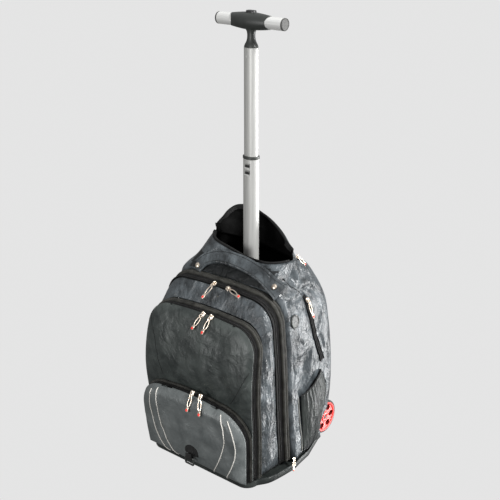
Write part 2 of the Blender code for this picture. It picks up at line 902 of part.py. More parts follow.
def mouth_zip(hood_edge):
    """The zip tapes round the mouth: one along its front rim, one along the hood's free edge."""
    mouth = body_section(MOUTH_HEIGHT)
    ring = body_ring(MOUTH_HEIGHT)
    front = [p for p in ring if p[1] < mouth[2] + 0.4 * (mouth[3] - mouth[2]) - 0.002]
    front.sort(key=lambda p: math.atan2(p[0], 0.4 * mouth[3] - p[1]))
    rings = []
    for x, y in front:
        z = rim_height(x, y) + SEAT
        inward = Vector((-x, 0.03 - y)).normalized()
        ring = []
        for into, up in ((0.0, 0.0), (0.0, 0.0035), (0.004, 0.005), (0.011, 0.001), (0.011, -0.001), (0.004, 0.0)):
            ring.append(world(x + inward.x * into, y + inward.y * into, z + up))
        rings.append(ring)
    solid("mouth_zip", rings, black_tape("mouth_zip"))
    below, edge = hood_edge
    rings = []
    picked = [edge[1]]
    for i in range(2, len(edge) - 2):
        if (edge[i] - picked[-1]).length < HOOD_ZIP_STEP:
            continue
        picked.append(edge[i])
        along = (edge[i + 1] - edge[i - 1]).normalized()
        rise = (edge[i] - below[i]).normalized()
        inward = along.cross(rise).normalized()
        if inward.y > 0:
            inward = -inward
        rise = inward.cross(along).normalized()
        if rise.z < 0:
            rise = -rise
        ring = []
        for into, up in ((-0.0005, 0.0), (-0.0005, 0.002), (0.004, 0.003), (0.011, 0.001), (0.011, 0.0)):
            ring.append(edge[i] + inward * into + rise * (up + SEAT))
        rings.append(ring)
    solid("hood_zip", rings, black_tape("hood_zip"))


# Side details


def side_point(y, z, out, side=1):
    """A point that stands out from the side wall, over its folds."""
    x = side_x(y, z) + out
    return world(side * x, y, z)


def side_pocket(side, word):
    """An open-topped pocket on the side wall, gathered by an elastic edge."""
    columns, rows = 12, 3
    low = BASE_TOP + 0.002
    rings = []
    for r in range(rows + 1):
        v = r / rows
        row = []
        for c in range(columns + 1):
            u = c / columns
            front = 0.0 - 0.014 * v
            back = 0.056 - 0.004 * v
            y = front + (back - front) * u
            top = 0.150 + 0.042 * u
            z = low + (top - low) * v
            belly = math.sin(math.pi * u) ** 0.7 * math.sin(math.pi * min(0.5, 0.62 * v)) ** 0.7
            gather = 0.0012 * math.sin(2 * math.pi * 4 * u) * v**3 * math.sin(math.pi * u)
            out = GAP + POCKET_WALL + 0.013 * belly - 0.004 * belly * v**4 + gather
            row.append(side_point(y, z, out, side))
        rings.append(row)
    mesh = loft_mesh("side_pocket_" + word, rings, closed=False)
    wall("side_pocket_" + word, mesh, POCKET_WALL, charcoal("side_pocket"), -1.0 if side > 0 else 1.0)


def side_zip():
    """The curved zip high on the side wall."""
    rings = []
    steps = 12
    for k in range(steps + 1):
        t = k / steps
        y = 0.002 + 0.026 * t + 0.036 * t**2
        z = 0.392 - 0.182 * t
        along = Vector((0.026 + 0.072 * t, -0.182)).normalized()
        across = (-along.y, along.x)
        ring = []
        for over, out in ((-0.009, 0.0), (-0.009, 0.0016), (0.0, 0.0032), (0.009, 0.0016), (0.009, 0.0)):
            ring.append(side_point(y + across[0] * over, z + across[1] * over, SEAT + out))
        rings.append(ring)
    solid("side_zip", rings, black_tape("side_zip"))


def side_normal(y, z, side=1):
    step = 0.004
    a = side_point(y + step, z, 0.0, side) - side_point(y - step, z, 0.0, side)
    b = side_point(y, z + step, 0.0, side) - side_point(y, z - step, 0.0, side)
    normal = a.cross(b).normalized()
    return normal if normal.x * side > 0 else -normal


def facing(point, normal, down):
    """A matrix whose Z is the normal and whose -Y points down the surface."""
    z_axis = normal.normalized()
    y_axis = -(down - z_axis * down.dot(z_axis)).normalized()
    x_axis = y_axis.cross(z_axis)
    matrix = Matrix((x_axis, y_axis, z_axis)).transposed().to_4x4()
    matrix.translation = point
    return matrix


def grommet():
    """An oval eyelet with two small holes for a cable."""
    y, z = -0.036, 0.350
    rings = []
    for scale, up in ((1.0, 0.0), (1.0, 0.0012), (0.86, 0.0026), (0.70, 0.0018)):
        outline = oval(GROMMET_HALF_WIDTH * scale, GROMMET_HALF_HEIGHT * scale, 12, 2.0)
        rings.append([Vector((x, w, up)) for x, w in outline])
    made = solid("grommet", rings, black_plastic("grommet"))
    point = side_point(y, z, 0.0) + side_normal(y, z) * 0.0012
    made.matrix_world = facing(point, side_normal(y, z), Vector((0, 0, -1)))
    for sign, word in ((-1, "a"), (1, "b")):
        hole = turned(
            "grommet_cut_" + word, ((0.0015, -0.01), (0.0015, 0.01)), 6, None,
            made.matrix_world @ Matrix.Translation((sign * 0.0035, 0.0, 0.0)),
            bpy.data.collections["guides"],
        )
        boolean(made, cutter(hole), "DIFFERENCE")


def tube_along(name, points, radius, finish, resolution=1):
    """A round cord along a list of points, with closed ends."""
    curve = bpy.data.curves.new(name, "CURVE")
    curve.dimensions = "3D"
    curve.bevel_depth = radius
    curve.bevel_resolution = resolution
    curve.use_fill_caps = True
    spline = curve.splines.new("POLY")
    spline.points.add(len(points) - 1)
    for target, point in zip(spline.points, points):
        target.co = (*point, 1.0)
    return add_object(name, curve, finish)


def pipings():
    """Reflective pipings: two on each flank of the lower pocket, one on each side wall."""
    table = (
        # word, x and z at the top, at the middle and at the foot
        ("outer", (0.117, 0.160), (0.127, 0.090), (0.098, 0.031)),
        ("inner", (0.090, 0.170), (0.095, 0.085), (0.060, 0.031)),
    )
    for side, hand in ((1, "left"), (-1, "right")):
        for word, top, middle, foot in table:
            points = []
            steps = 7
            for k in range(steps + 1):
                t = k / steps
                x = (1 - t) ** 2 * top[0] + 2 * t * (1 - t) * (2 * middle[0] - 0.5 * (top[0] + foot[0])) + t**2 * foot[0]
                z = (1 - t) ** 2 * top[1] + 2 * t * (1 - t) * (2 * middle[1] - 0.5 * (top[1] + foot[1])) + t**2 * foot[1]
                y = pocket_face(x, z, False) - PIPING_RADIUS - 2 * SEAT
                points.append(world(side * x, y, z))
            tube_along("pocket_piping_%s_%s" % (word, hand), points, PIPING_RADIUS, reflective("piping"))
        points = []
        steps = 4
        for k in range(steps + 1):
            t = k / steps
            points.append(side_point(-0.0185 + 0.014 * t, 0.146 - 0.124 * t, PIPING_RADIUS + SEAT, side))
        tube_along("side_piping_" + hand, points, PIPING_RADIUS, reflective("piping"))


# Hardware


def carry_row(share):
    values = [smooth(CARRY, column, abs(share)) for column in range(1, 5)]
    return values


def carry_frame(share):
    """The handle's centre line and the way its flat side faces."""
    y, drop, _, _ = carry_row(share)
    centre = world(share * CARRY_HALF_SPAN, y, CARRY_HEIGHT - drop)
    lean = math.radians(48 - 8 * abs(share))
    normal = Vector((0, -math.cos(lean), math.sin(lean)))
    return centre, normal


def carry_handle():
    rings = []
    steps = 16
    for k in range(steps + 1):
        share = -1 + 2 * k / steps
        _, _, half_width, half_thick = carry_row(share)
        centre, normal = carry_frame(share)
        step = 0.01
        along = (carry_frame(min(share + step, 1))[0] - carry_frame(max(share - step, -1))[0]).normalized()
        across = along.cross(normal).normalized()
        facing_out = across.cross(along).normalized()
        ring = []
        for x, y in oval(half_width, half_thick, 8, 3.0):
            ring.append(centre + across * x + facing_out * y)
        rings.append(ring)
    solid("carry_handle", rings, satin("handle_cloth"))
    for side, word in ((1, "left"), (-1, "right")):
        share = side * 0.90
        centre, normal = carry_frame(share)
        half_thick = carry_row(share)[3]
        profile = (
            (RIVET_RADIUS, 0.0),
            (RIVET_RADIUS, 0.25 * RIVET_HEIGHT),
            (0.75 * RIVET_RADIUS, 0.85 * RIVET_HEIGHT),
            (0.35 * RIVET_RADIUS, RIVET_HEIGHT),
        )
        place = facing(centre + normal * (half_thick + 2.6 * SEAT), normal, Vector((0, 0, -1)))
        turned("rivet_" + word, profile, 10, pull_metal("rivet"), place)


def pull_mesh():
    """A slider with an open oval pull hanging from it, in one flat plate and a block."""
    curve = bpy.data.curves.new("pull_outline", "CURVE")
    curve.dimensions = "2D"
    curve.fill_mode = "BOTH"
    curve.extrude = 0.5 * PULL_THICKNESS
    half = 0.5 * PULL_WIDTH
    outer = [(-0.45 * half, 0.0), (0.45 * half, 0.0)]
    loop_start, loop_end = 0.14 * PULL_LENGTH, 0.72 * PULL_LENGTH
    middle = 0.5 * (loop_start + loop_end)
    reach = 0.5 * (loop_end - loop_start)
    for degrees in (55, 0, -55):
        angle = math.radians(degrees)
        outer.append((half * math.cos(angle) ** 0.8, -(middle - reach * math.sin(angle))))
    outer.append((0.58 * half, -0.80 * PULL_LENGTH))
    outer.append((0.40 * half, -PULL_LENGTH))
    outer = outer + [(-x, y) for x, y in reversed(outer[2:])]
    inner = []
    for k in range(8):
        angle = 2 * math.pi * k / 8
        inner.append((0.55 * half * math.cos(angle), -(middle - 0.80 * reach * math.sin(angle))))
    for outline in (outer, inner):
        spline = curve.splines.new("POLY")
        spline.points.add(len(outline) - 1)
        for target, (x, y) in zip(spline.points, outline):
            target.co = (x, y, 0.0, 1.0)
        spline.use_cyclic_u = True
    plate = add_object("pull_plate", curve, None, bpy.data.collections["guides"])
    plate_mesh = baked_after_update(plate)
    bm = bmesh.new()
    bm.from_mesh(plate_mesh)
    bmesh.ops.remove_doubles(bm, verts=bm.verts, dist=1e-6)
    bmesh.ops.recalc_face_normals(bm, faces=bm.faces)
    bm.to_mesh(plate_mesh)
    bm.free()
    plate = add_object("pull_plate", plate_mesh, None, bpy.data.collections["guides"])
    block_rings = []
    for up, scale in ((-0.0026, 1.0), (0.0020, 0.85)):
        outline = oval(0.0052 * scale, 0.0042 * scale, 8, 3.5)
        block_rings.append([Vector((x, y + 0.0015, up)) for x, y in outline])
    block = solid("pull_block", block_rings, None, bpy.data.collections["guides"])
    boolean(plate, block, "UNION")
    mesh = baked_after_update(plate)
    bpy.data.objects.remove(block)
    mesh.materials.clear()
    return mesh


def baked_after_update(made):
    bpy.context.view_layer.update()
    return baked(made)


def place_pull(name, mesh, point, normal, down):
    made = add_object(name, mesh, pull_metal("pull") if not mesh.materials else None)
    made.matrix_world = facing(point, normal, down)
    return made


def pulls():
    mesh = pull_mesh()
    rows = (
        # name, x, depth into the zip, arch, seam, way it faces, way it hangs
        ("pull_middle_left", -0.008, MIDDLE_ARCH, "middle", (0.0, -0.62, 0.78), (-0.35, -0.5, -0.80)),
        ("pull_middle_right", 0.024, MIDDLE_ARCH, "middle", (0.0, -0.62, 0.78), (0.95, -0.3, -0.35)),
        ("pull_front_left", -0.008, FRONT_ARCH, "front", (0.0, -0.90, 0.42), (-0.40, 0.0, -1.0)),
        ("pull_front_right", 0.013, FRONT_ARCH, "front", (0.0, -0.90, 0.42), (-0.25, 0.0, -1.0)),
        ("pull_pocket_left", -0.011, POCKET_ARCH, "pocket", (0.0, -0.91, 0.41), (-0.12, 0.0, -1.0)),
        ("pull_pocket_right", 0.012, POCKET_ARCH, "pocket", (0.0, -0.91, 0.41), (0.06, 0.0, -1.0)),
    )
    for name, x, shape, layer, normal, down in rows:
        z = shape["top"]
        if layer == "middle":
            y = body_front(z) - MIDDLE_BINDING - MIDDLE_ZIP
            point = world(x, y - 0.0027, z + 0.0002)
        elif layer == "front":
            y = front_rim(z)
            point = world(x, y - 0.0070, z + 0.0003)
        else:
            y = pocket_rim(x, z)
            point = world(x, y - 0.0087, z + 0.0003)
        place_pull(name, mesh, point, Vector(normal), Vector(down))
    point = side_point(0.006, 0.378, 0.0) + side_normal(0.006, 0.378) * 0.0072
    place_pull("pull_side", mesh, point, side_normal(0.006, 0.378), Vector((0, 0.12, -1)))
    start = side_point(0.022, 0.476, 0.0080)
    down = side_point(0.046, 0.446, 0.0068) - start
    place_pull("pull_mouth", mesh, start, Vector((0, 1, 0)).cross(-down), down)


def front_loop():
    """A webbing tab low on the front with a plastic loop in it."""
    z = 0.036
    y = pocket_face(0.0, z)
    for name, build in (("front_tab", front_tab), ("front_loop", loop_ring)):
        build(name, y, z)


def front_tab(name, y, z):
    """Webbing folded round the loop's upper bar: an outline in YZ, extruded along X."""
    bar = 0.5 * LOOP_WIRE + LOOP_FIT
    outer = bar + WEBBING
    centre_y = y - outer - 0.006
    top_y = pocket_face(0.0, z + TAB_HEIGHT)
    outline = [(top_y, z + TAB_HEIGHT), (centre_y + outer, z)]
    inner = [(top_y - WEBBING, z + TAB_HEIGHT), (centre_y + bar, z)]
    for k in range(1, 7):
        angle = -math.pi * k / 6
        outline.append((centre_y + outer * math.cos(angle), z + outer * math.sin(angle)))
        inner.append((centre_y + bar * math.cos(angle), z + bar * math.sin(angle)))
    outline.append((centre_y - outer, z + 0.012))
    inner.append((centre_y - bar, z + 0.012))
    rings = []
    for a, b in zip(outline, inner):
        ring = []
        for x, (py, pz) in ((-0.5, a), (0.5, a), (0.5, b), (-0.5, b)):
            ring.append(world(x * TAB_WIDTH, py, pz))
        rings.append(ring)
    solid(name, rings, black_tape(name))


def loop_ring(name, y, z):
    bar = 0.5 * LOOP_WIRE + LOOP_FIT
    centre_y = y - bar - WEBBING - 0.006
    half_wire = 0.5 * LOOP_WIRE
    rings = []
    corners = (
        (-1, 0.0), (1, 0.0), (1, -1), (-1, -1),
    )
    half_width = 0.5 * LOOP_WIDTH - half_wire
    drop = LOOP_HEIGHT - LOOP_WIRE
    path = [(half_width * cx, z + drop * cz) for cx, cz in corners]
    count = len(path)
    for i, (x, pz) in enumerate(path):
        before, after = path[i - 1], path[(i + 1) % count]
        out = Vector((x, pz - (z - 0.5 * drop)))
        out = Vector((math.copysign(1, out.x), math.copysign(1, out.y)))
        ring = []
        for k in range(6):
            angle = 2 * math.pi * k / 6
            reach = half_wire * math.cos(angle)
            ring.append(world(x + out.x * reach, centre_y + half_wire * math.sin(angle), pz + out.y * reach))
        rings.append(ring)
    bm = bmesh.new()
    rows = [[bm.verts.new(point) for point in ring] for ring in rings]
    for i in range(count):
        low, high = rows[i], rows[(i + 1) % count]
        for k in range(6):
            j = (k + 1) % 6
            bm.faces.new((low[k], low[j], high[j], high[k]))
    bmesh.ops.recalc_face_normals(bm, faces=bm.faces)
    mesh = bpy.data.meshes.new(name)
    bm.to_mesh(mesh)
    bm.free()
    shade(mesh)
    add_object(name, mesh, black_plastic(name))


# Trolley


def oval_tube(name, half_width, half_depth, low, high, thickness, finish):
    rings = []
    for z in (low, high):
        rings.append([world(x, y, z) for x, y in oval(half_width, half_depth, OVAL_SIDES, 2.4)])
    mesh = loft_mesh(name, rings)
    return wall(name, mesh, thickness, finish)


def trolley():
    lower_half_width = UPPER_HALF_WIDTH + TUBE_FIT + TUBE_WALL
    lower_half_depth = UPPER_HALF_DEPTH + TUBE_FIT + TUBE_WALL
    guide_half_width = lower_half_width + TUBE_FIT + GUIDE_WALL
    guide_half_depth = lower_half_depth + TUBE_FIT + GUIDE_WALL
    guide_low = BASE_TOP + GAP + CLOTH + GAP
    oval_tube(
        "guide_tube", guide_half_width, guide_half_depth, guide_low, GUIDE_TOP, GUIDE_WALL,
        black_plastic("guide_tube"),
    )
    lower = oval_tube(
        "lower_tube", lower_half_width, lower_half_depth, LOWER_TOP - LOWER_LENGTH, LOWER_TOP,
        TUBE_WALL, aluminium("lower_tube"),
    )
    for number, drop in enumerate(SLOT_DROPS):
        slot = bpy.data.meshes.new("slot")
        bm = bmesh.new()
        bmesh.ops.create_cube(bm, size=1.0)
        bm.to_mesh(slot)
        bm.free()
        cut = add_object("slot_cut_%d" % number, slot, None, bpy.data.collections["guides"])
        cut.scale = (SLOT_WIDTH, 0.010, SLOT_HEIGHT)
        cut.location = world(0.0, -lower_half_depth, LOWER_TOP - drop)
        boolean(lower, cutter(cut), "DIFFERENCE")
    oval_tube(
        "upper_tube", UPPER_HALF_WIDTH, UPPER_HALF_DEPTH, UPPER_TOP - UPPER_LENGTH, UPPER_TOP,
        TUBE_WALL, aluminium("upper_tube"),
    )
    oval_tube(
        "collar", lower_half_width + 0.0008, lower_half_depth + 0.0008, LOWER_TOP + GAP,
        LOWER_TOP + GAP + COLLAR_HEIGHT, TUBE_WALL + TUBE_FIT + 0.0008 - 0.0005,
        black_plastic("collar"),
    )
    handle_hub()
    grips()
    push_button()


def saddle(angle):
    """How far from the middle the hub ends; more over the top and under than at the sides."""
    return HUB_HALF_LENGTH + HUB_SADDLE * math.sin(angle) ** 2


def handle_ring(x_of, radius, steps=HANDLE_SIDES):
    ring = []
    for k in range(steps):
        angle = 2 * math.pi * k / steps
        ring.append(
            world(x_of(angle), radius * math.cos(angle), GRIP_HEIGHT + radius * math.sin(angle))
        )
    return ring


def handle_hub():
    guides = bpy.data.collections["guides"]
    rings = []
    for share in (-1.0, -0.72, -0.3, 0.3, 0.72, 1.0):
        radius = GRIP_RADIUS + 0.0010 + HUB_SWELL * (1 - abs(share) ** 1.6)
        rings.append(handle_ring(lambda angle: share * saddle(angle), radius))
    ends = [world(side * HUB_HALF_LENGTH, 0.0, GRIP_HEIGHT) for side in (-1, 1)]
    hub = solid("handle_hub", rings, black_plastic("handle_hub"), centres=ends)
    neck_rows = (
        # up from the tube's top (share of the way to the grip), half width, half depth
        (0.00, 1.0, 1.0),
        (0.08, 0.92, 0.94),
        (0.22, 0.66, 0.74),
        (0.42, 0.53, 0.62),
        (0.60, 0.60, 0.66),
        (0.80, 1.05, 0.90),
    )
    low = UPPER_TOP + GAP
    rings = []
    for up, wide, deep in neck_rows:
        z = low + up * (GRIP_HEIGHT - low)
        outline = oval(UPPER_HALF_WIDTH * wide, UPPER_HALF_DEPTH * deep, 14, 2.3)
        rings.append([world(x, y, z) for x, y in outline])
    neck = cutter(solid("neck_guide", rings, None, guides))
    boolean(hub, neck, "UNION")
    fit = 0.0005
    seat = []
    for z in (button_top() - BUTTON_PROUD - BUTTON_TRAVEL - fit - 0.002, button_top() + 0.02):
        outline = oval(BUTTON_HALF_LENGTH + fit, BUTTON_HALF_WIDTH + fit, 12, 3.5)
        seat.append([world(x, y, z) for x, y in outline])
    boolean(hub, cutter(solid("button_cut", seat, None, guides)), "DIFFERENCE")


def button_top():
    return GRIP_HEIGHT + GRIP_RADIUS + 0.0010 + HUB_SWELL + BUTTON_PROUD


def push_button():
    rings = []
    low = button_top() - BUTTON_PROUD - 0.002
    for z, scale in ((low, 1.0), (button_top() - 0.0012, 1.0), (button_top(), 0.86)):
        outline = oval(BUTTON_HALF_LENGTH * scale, BUTTON_HALF_WIDTH * scale, 12, 3.5)
        rings.append([world(x, y, z) for x, y in outline])
    solid("push_button", rings, black_plastic("push_button"))


def grips():
    cap = 0.004
    for side, word in ((1, "left"), (-1, "right")):
        rings = []
        rings.append(handle_ring(lambda angle: side * (saddle(angle) + GAP), GRIP_RADIUS))
        for share in (0.35, 1.0):
            rings.append(
                handle_ring(
                    lambda angle: side * (saddle(angle) + GAP + share * (GRIP_END - cap - GAP - saddle(angle))),
                    GRIP_RADIUS,
                )
            )
        ends = [
            world(side * (HUB_HALF_LENGTH + GAP), 0.0, GRIP_HEIGHT),
            world(side * (GRIP_END - cap - GAP), 0.0, GRIP_HEIGHT),
        ]
        solid("grip_" + word, rings, aluminium("grip"), centres=ends)
        rings = []
        for along, scale in ((GRIP_END - cap, 1.0), (GRIP_END - 0.001, 1.0), (GRIP_END, 0.88), (GRIP_END - 0.001, 0.80)):
            rings.append(handle_ring(lambda angle: side * along, GRIP_RADIUS * scale))
        solid("end_cap_" + word, rings, black_plastic("end_cap"))


# Wheels


def hub_cuts(bore):
    """The axle's bore and the ring of oval holes, as prisms along Z that stand apart."""
    bm = bmesh.new()
    outlines = [oval(bore, bore, AXLE_SIDES, 2.0)]
    for k in range(HUB_HOLES):
        angle = 2 * math.pi * (k + 0.5) / HUB_HOLES
        c, s = math.cos(angle), math.sin(angle)
        outline = []
        for x, y in oval(HUB_HOLE_RADIUS * HUB_HOLE_STRETCH, HUB_HOLE_RADIUS, 7, 2.0):
            x += HUB_HOLE_CIRCLE
            outline.append((x * c - y * s, x * s + y * c))
        outlines.append(outline)
    for outline in outlines:
        low = [bm.verts.new((x, y, -WHEEL_WIDTH)) for x, y in outline]
        high = [bm.verts.new((x, y, WHEEL_WIDTH)) for x, y in outline]
        count = len(outline)
        for i in range(count):
            j = (i + 1) % count
            bm.faces.new((low[i], low[j], high[j], high[i]))
        bm.faces.new(list(reversed(low)))
        bm.faces.new(high)
    mesh = bpy.data.meshes.new("hub_cuts")
    bm.to_mesh(mesh)
    bm.free()
    return mesh


def wheels():
    rim = WHEEL_RADIUS - TYRE_THICKNESS
    bore = AXLE_RADIUS + AXLE_FIT
    half = 0.5 * WHEEL_WIDTH
    for side, word in ((1, "left"), (-1, "right")):
        place = wheel_matrix(side, WHEEL_FACE_X - half)
        hub_profile = (
            (0.0105, half - 0.0005),
            (0.0125, half - HUB_RECESS),
            (rim - 0.0045, half - HUB_RECESS),
            (rim - 0.0025, half - 0.001),
            (rim, half - 0.001),
            (rim, -half + 0.001),
            (0.0105, -half + 0.001),
        )
        rings = []
        for radius, along in hub_profile:
            ring = []
            for k in range(WHEEL_SIDES):
                angle = 2 * math.pi * k / WHEEL_SIDES
                ring.append(Vector((radius * math.cos(angle), radius * math.sin(angle), along)))
            rings.append(ring)
        hub = solid("wheel_hub_" + word, rings, material("wheel_red", (0.72, 0.03, 0.02), 0.35))
        hub.matrix_world = place
        cut = add_object("hub_cut_" + word, hub_cuts(bore), None, bpy.data.collections["guides"])
        cut.matrix_world = place
        boolean(hub, cutter(cut), "DIFFERENCE")
        tyre(word, place, rim)
        housing(side, word)


def tyre(word, place, rim):
    """A ring with a rounded tread, turned by a Screw modifier."""
    half = 0.5 * WHEEL_WIDTH
    inner = rim + GAP
    outer = WHEEL_RADIUS
    profile = (
        (inner, half - 0.001),
        (outer - 0.0018, half - 0.002),
        (outer, 0.45 * half),
        (outer, -0.45 * half),
        (outer - 0.0018, -half + 0.002),
        (inner, -half + 0.001),
    )
    bm = bmesh.new()
    verts = [bm.verts.new((radius, 0.0, along)) for radius, along in profile]
    for a, b in zip(verts, verts[1:] + verts[:1]):
        bm.edges.new((a, b))
    mesh = bpy.data.meshes.new("tyre_" + word)
    bm.to_mesh(mesh)
    bm.free()
    made = add_object("tyre_" + word, mesh, material("tyre", (0.03, 0.03, 0.03), 0.8))
    made.matrix_world = place
    screw = made.modifiers.new("turn", "SCREW")
    screw.steps = WHEEL_SIDES
    screw.render_steps = WHEEL_SIDES
    screw.use_merge_vertices = True
    screw.merge_threshold = 0.00001


def housing(side, word):
    """The wheel's plastic housing: an arch over it, a plate behind it and its axle."""
    guides = bpy.data.collections["guides"]
    inner = WHEEL_FACE_X - WHEEL_WIDTH - WELL_CLEARANCE - WELL_WALL
    reach = WHEEL_FACE_X + 0.003 - inner
    place = wheel_matrix(side, inner)
    low_angle, high_angle = math.radians(-28), math.radians(93)
    radii = (well_radius() + WELL_WALL, well_radius())
    rings = []
    steps = 8
    for k in range(steps + 1):
        angle = low_angle + (high_angle - low_angle) * k / steps
        forward, up = -math.cos(angle), math.sin(angle)
        ring = []
        for radius, along in ((radii[0], 0), (radii[0], reach), (radii[1], reach), (radii[1], 0)):
            x = side * (inner + along)
            ring.append(world(x, WHEEL_Y + radius * forward, WHEEL_RADIUS + radius * up))
        rings.append(ring)
    made = solid("wheel_housing_" + word, rings, black_plastic("wheel_housing"))
    plate_radius = WHEEL_RADIUS - 0.004
    rings = []
    start, end = math.radians(-28), math.radians(93)
    outline = [(0.012, -0.020), (-0.006, -0.030)]
    for k in range(7):
        angle = start + (end - start) * k / 6
        radius = well_radius() + 0.5 * WELL_WALL
        outline.append((-radius * math.cos(angle), radius * math.sin(angle)))
    outline.append((0.012, 0.036))
    rings = []
    for along in (0.0, WELL_WALL):
        x = side * (inner + along)
        rings.append([world(x, WHEEL_Y + y, WHEEL_RADIUS + z) for y, z in outline])
    plate = cutter(solid("plate_guide_" + word, rings, None, guides))
    boolean(made, plate, "UNION")
    pin_profile = (
        (AXLE_RADIUS, 0.5 * WELL_WALL),
        (AXLE_RADIUS, WELL_WALL + WELL_CLEARANCE + WHEEL_WIDTH - 0.001),
    )
    pin = cutter(turned("axle_guide_" + word, pin_profile, AXLE_SIDES, None, place, guides))
    boolean(made, pin, "UNION")


# The back


def back_y(z):
    return body_section(z)[3]


def back_pad():
    rings = []
    columns, rows = 6, 6
    for r in range(rows + 1):
        v = r / rows
        z = PAD_LOW + (PAD_HIGH - PAD_LOW) * v
        row = []
        for c in range(columns + 1):
            u = -1 + 2 * c / columns
            half = PAD_HALF_WIDTH * (1 - 0.22 * v**2)
            edge = (1 - abs(u) ** 5) * (1 - abs(2 * v - 1) ** 7)
            out = SEAT + 0.003 + (PAD_THICKNESS - 0.003) * edge
            row.append((half * u, z, out))
        rings.append(row)
    outer = [[world(x, back_y(z) + out, z) for x, z, out in row] for row in rings]
    inner = [[world(x, back_y(z) + SEAT, z) for x, z, _ in row] for row in rings]
    bm = bmesh.new()
    front = [[bm.verts.new(p) for p in row] for row in outer]
    rear = [[bm.verts.new(p) for p in row] for row in inner]
    for sheet in (front, rear):
        for low, high in zip(sheet, sheet[1:]):
            for c in range(columns):
                bm.faces.new((low[c], low[c + 1], high[c + 1], high[c]))
    for c in range(columns):
        bm.faces.new((front[0][c], front[0][c + 1], rear[0][c + 1], rear[0][c]))
        bm.faces.new((front[-1][c], front[-1][c + 1], rear[-1][c + 1], rear[-1][c]))
    for r in range(rows):
        bm.faces.new((front[r][0], front[r + 1][0], rear[r + 1][0], rear[r][0]))
        bm.faces.new((front[r][-1], front[r + 1][-1], rear[r + 1][-1], rear[r][-1]))
    bmesh.ops.recalc_face_normals(bm, faces=bm.faces)
    mesh = bpy.data.meshes.new("back_pad")
    bm.to_mesh(mesh)
    bm.free()
    shade(mesh)
    add_object("back_pad", mesh, charcoal("back_pad"))


def shoulder_straps():
    for side, word in ((1, "left"), (-1, "right")):
        rings = []
        steps = 8
        for k in range(steps + 1):
            share = STRAPS[0][0] + (STRAPS[-1][0] - STRAPS[0][0]) * k / steps
            table = [(-row[0], *row[1:]) for row in STRAPS]
            x, out, half_width, half_thick = [smooth(table, column, -share) for column in range(1, 5)]
            z = share * MOUTH_HEIGHT
            y = back_y(z) + SEAT + PAD_THICKNESS + SEAT + out
            ring = []
            for across, deep in oval(half_width, half_thick, 8, 3.0):
                ring.append(world(side * x * HALF_WIDTH + across, y + deep, z))
            rings.append(ring)
        solid("shoulder_strap_" + word, rings, charcoal("shoulder_strap"))


def main():
    for old in list(bpy.data.objects):
        bpy.data.objects.remove(old)
    for name in ("wheeled_backpack", "guides"):
        collection = bpy.data.collections.new(name)
        bpy.context.scene.collection.children.link(collection)
    cutters = wheel_cutters()
    main_body(cutters)
    base_tray(cutters)
    hood_edge = hood()
    middle_compartment()
    front_compartment()
    lower_pocket()
    bands()
    mouth_zip(hood_edge)
    for side, word in ((1, "left"), (-1, "right")):
        side_pocket(side, word)
    side_zip()
    grommet()
    pipings()
    carry_handle()
    pulls()
    front_loop()
    trolley()
    wheels()
    back_pad()
    shoulder_straps()


main()
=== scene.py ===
"""Looks of the wheeled backpack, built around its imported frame.

Metres, +Z up, the zipped front faces -Y. Depths along Y are given from the pole's axis.
"""

import math
import bisect

import bmesh
import bpy
from mathutils import Matrix, Vector, noise

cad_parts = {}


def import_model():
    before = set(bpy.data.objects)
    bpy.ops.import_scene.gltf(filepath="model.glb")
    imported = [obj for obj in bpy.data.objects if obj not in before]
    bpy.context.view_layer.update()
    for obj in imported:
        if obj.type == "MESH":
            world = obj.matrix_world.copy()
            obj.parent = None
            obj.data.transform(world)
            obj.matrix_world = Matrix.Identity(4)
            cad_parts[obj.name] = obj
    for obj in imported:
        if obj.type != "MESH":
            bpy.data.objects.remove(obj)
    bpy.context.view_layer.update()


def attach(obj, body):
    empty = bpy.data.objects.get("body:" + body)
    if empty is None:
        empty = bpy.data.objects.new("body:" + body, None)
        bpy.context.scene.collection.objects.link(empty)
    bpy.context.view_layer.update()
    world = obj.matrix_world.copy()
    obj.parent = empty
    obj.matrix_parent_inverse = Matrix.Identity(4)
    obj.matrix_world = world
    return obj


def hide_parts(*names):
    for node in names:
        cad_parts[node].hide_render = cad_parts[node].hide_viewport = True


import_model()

# Sizes of the bag, in metres
POLE_Y = 0.0458
BASE_TOP = 0.0165
MOUTH_HEIGHT = 0.480
RIM_LIFT = 0.015
RIM_DROP = 0.030
FRONT_DIP = 0.004
HALF_WIDTH = 0.168
BODY_DEPTH = 0.190
BODY_BACK = 0.110
CLOTH = 0.0018
FRONT_CORNER = 0.012
HOOD_RISE = 0.055
MOUTH_LEAN = 0.012
MIDDLE_HALF_WIDTH = 0.163
MIDDLE_TOP = 0.423
FRONT_HALF_WIDTH = 0.156
FRONT_TOP = 0.372
POCKET_HALF_WIDTH = 0.1535
POCKET_TOP = 0.192
LAYER_DEPTH = 0.100
MIDDLE_BINDING = 0.017
MIDDLE_ZIP = 0.018
FRONT_BINDING = 0.013
FRONT_ZIP = 0.013
POCKET_BINDING = 0.006
POCKET_ZIP = 0.009
RIM_DEPTH = 0.002
LAYER_FLOOR = BASE_TOP + 0.0003
UPPER_HALF_WIDTH = 0.0165
UPPER_HALF_DEPTH = 0.0120
TUBE_STEP = 0.0019
LOWER_TOP = 0.685
LOWER_LENGTH = 0.325
UPPER_LENGTH = 0.312
GRIP_HEIGHT = 0.979
UPPER_TOP = GRIP_HEIGHT - 0.054
GRIP_RADIUS = 0.0130
GRIP_END = 0.090
HUB_HALF_LENGTH = 0.044
HUB_SADDLE = 0.007
HUB_SWELL = 0.0045
WHEEL_RADIUS = 0.0415
WHEEL_WIDTH = 0.022
WHEEL_FACE_X = 0.147
WHEEL_Y = 0.106
WELL_CLEARANCE = 0.0022
WELL_WALL = 0.0020
WELL_FIT = 0.0007
SEAM_GAP = 0.0007
SEWN_FIT = 0.0003
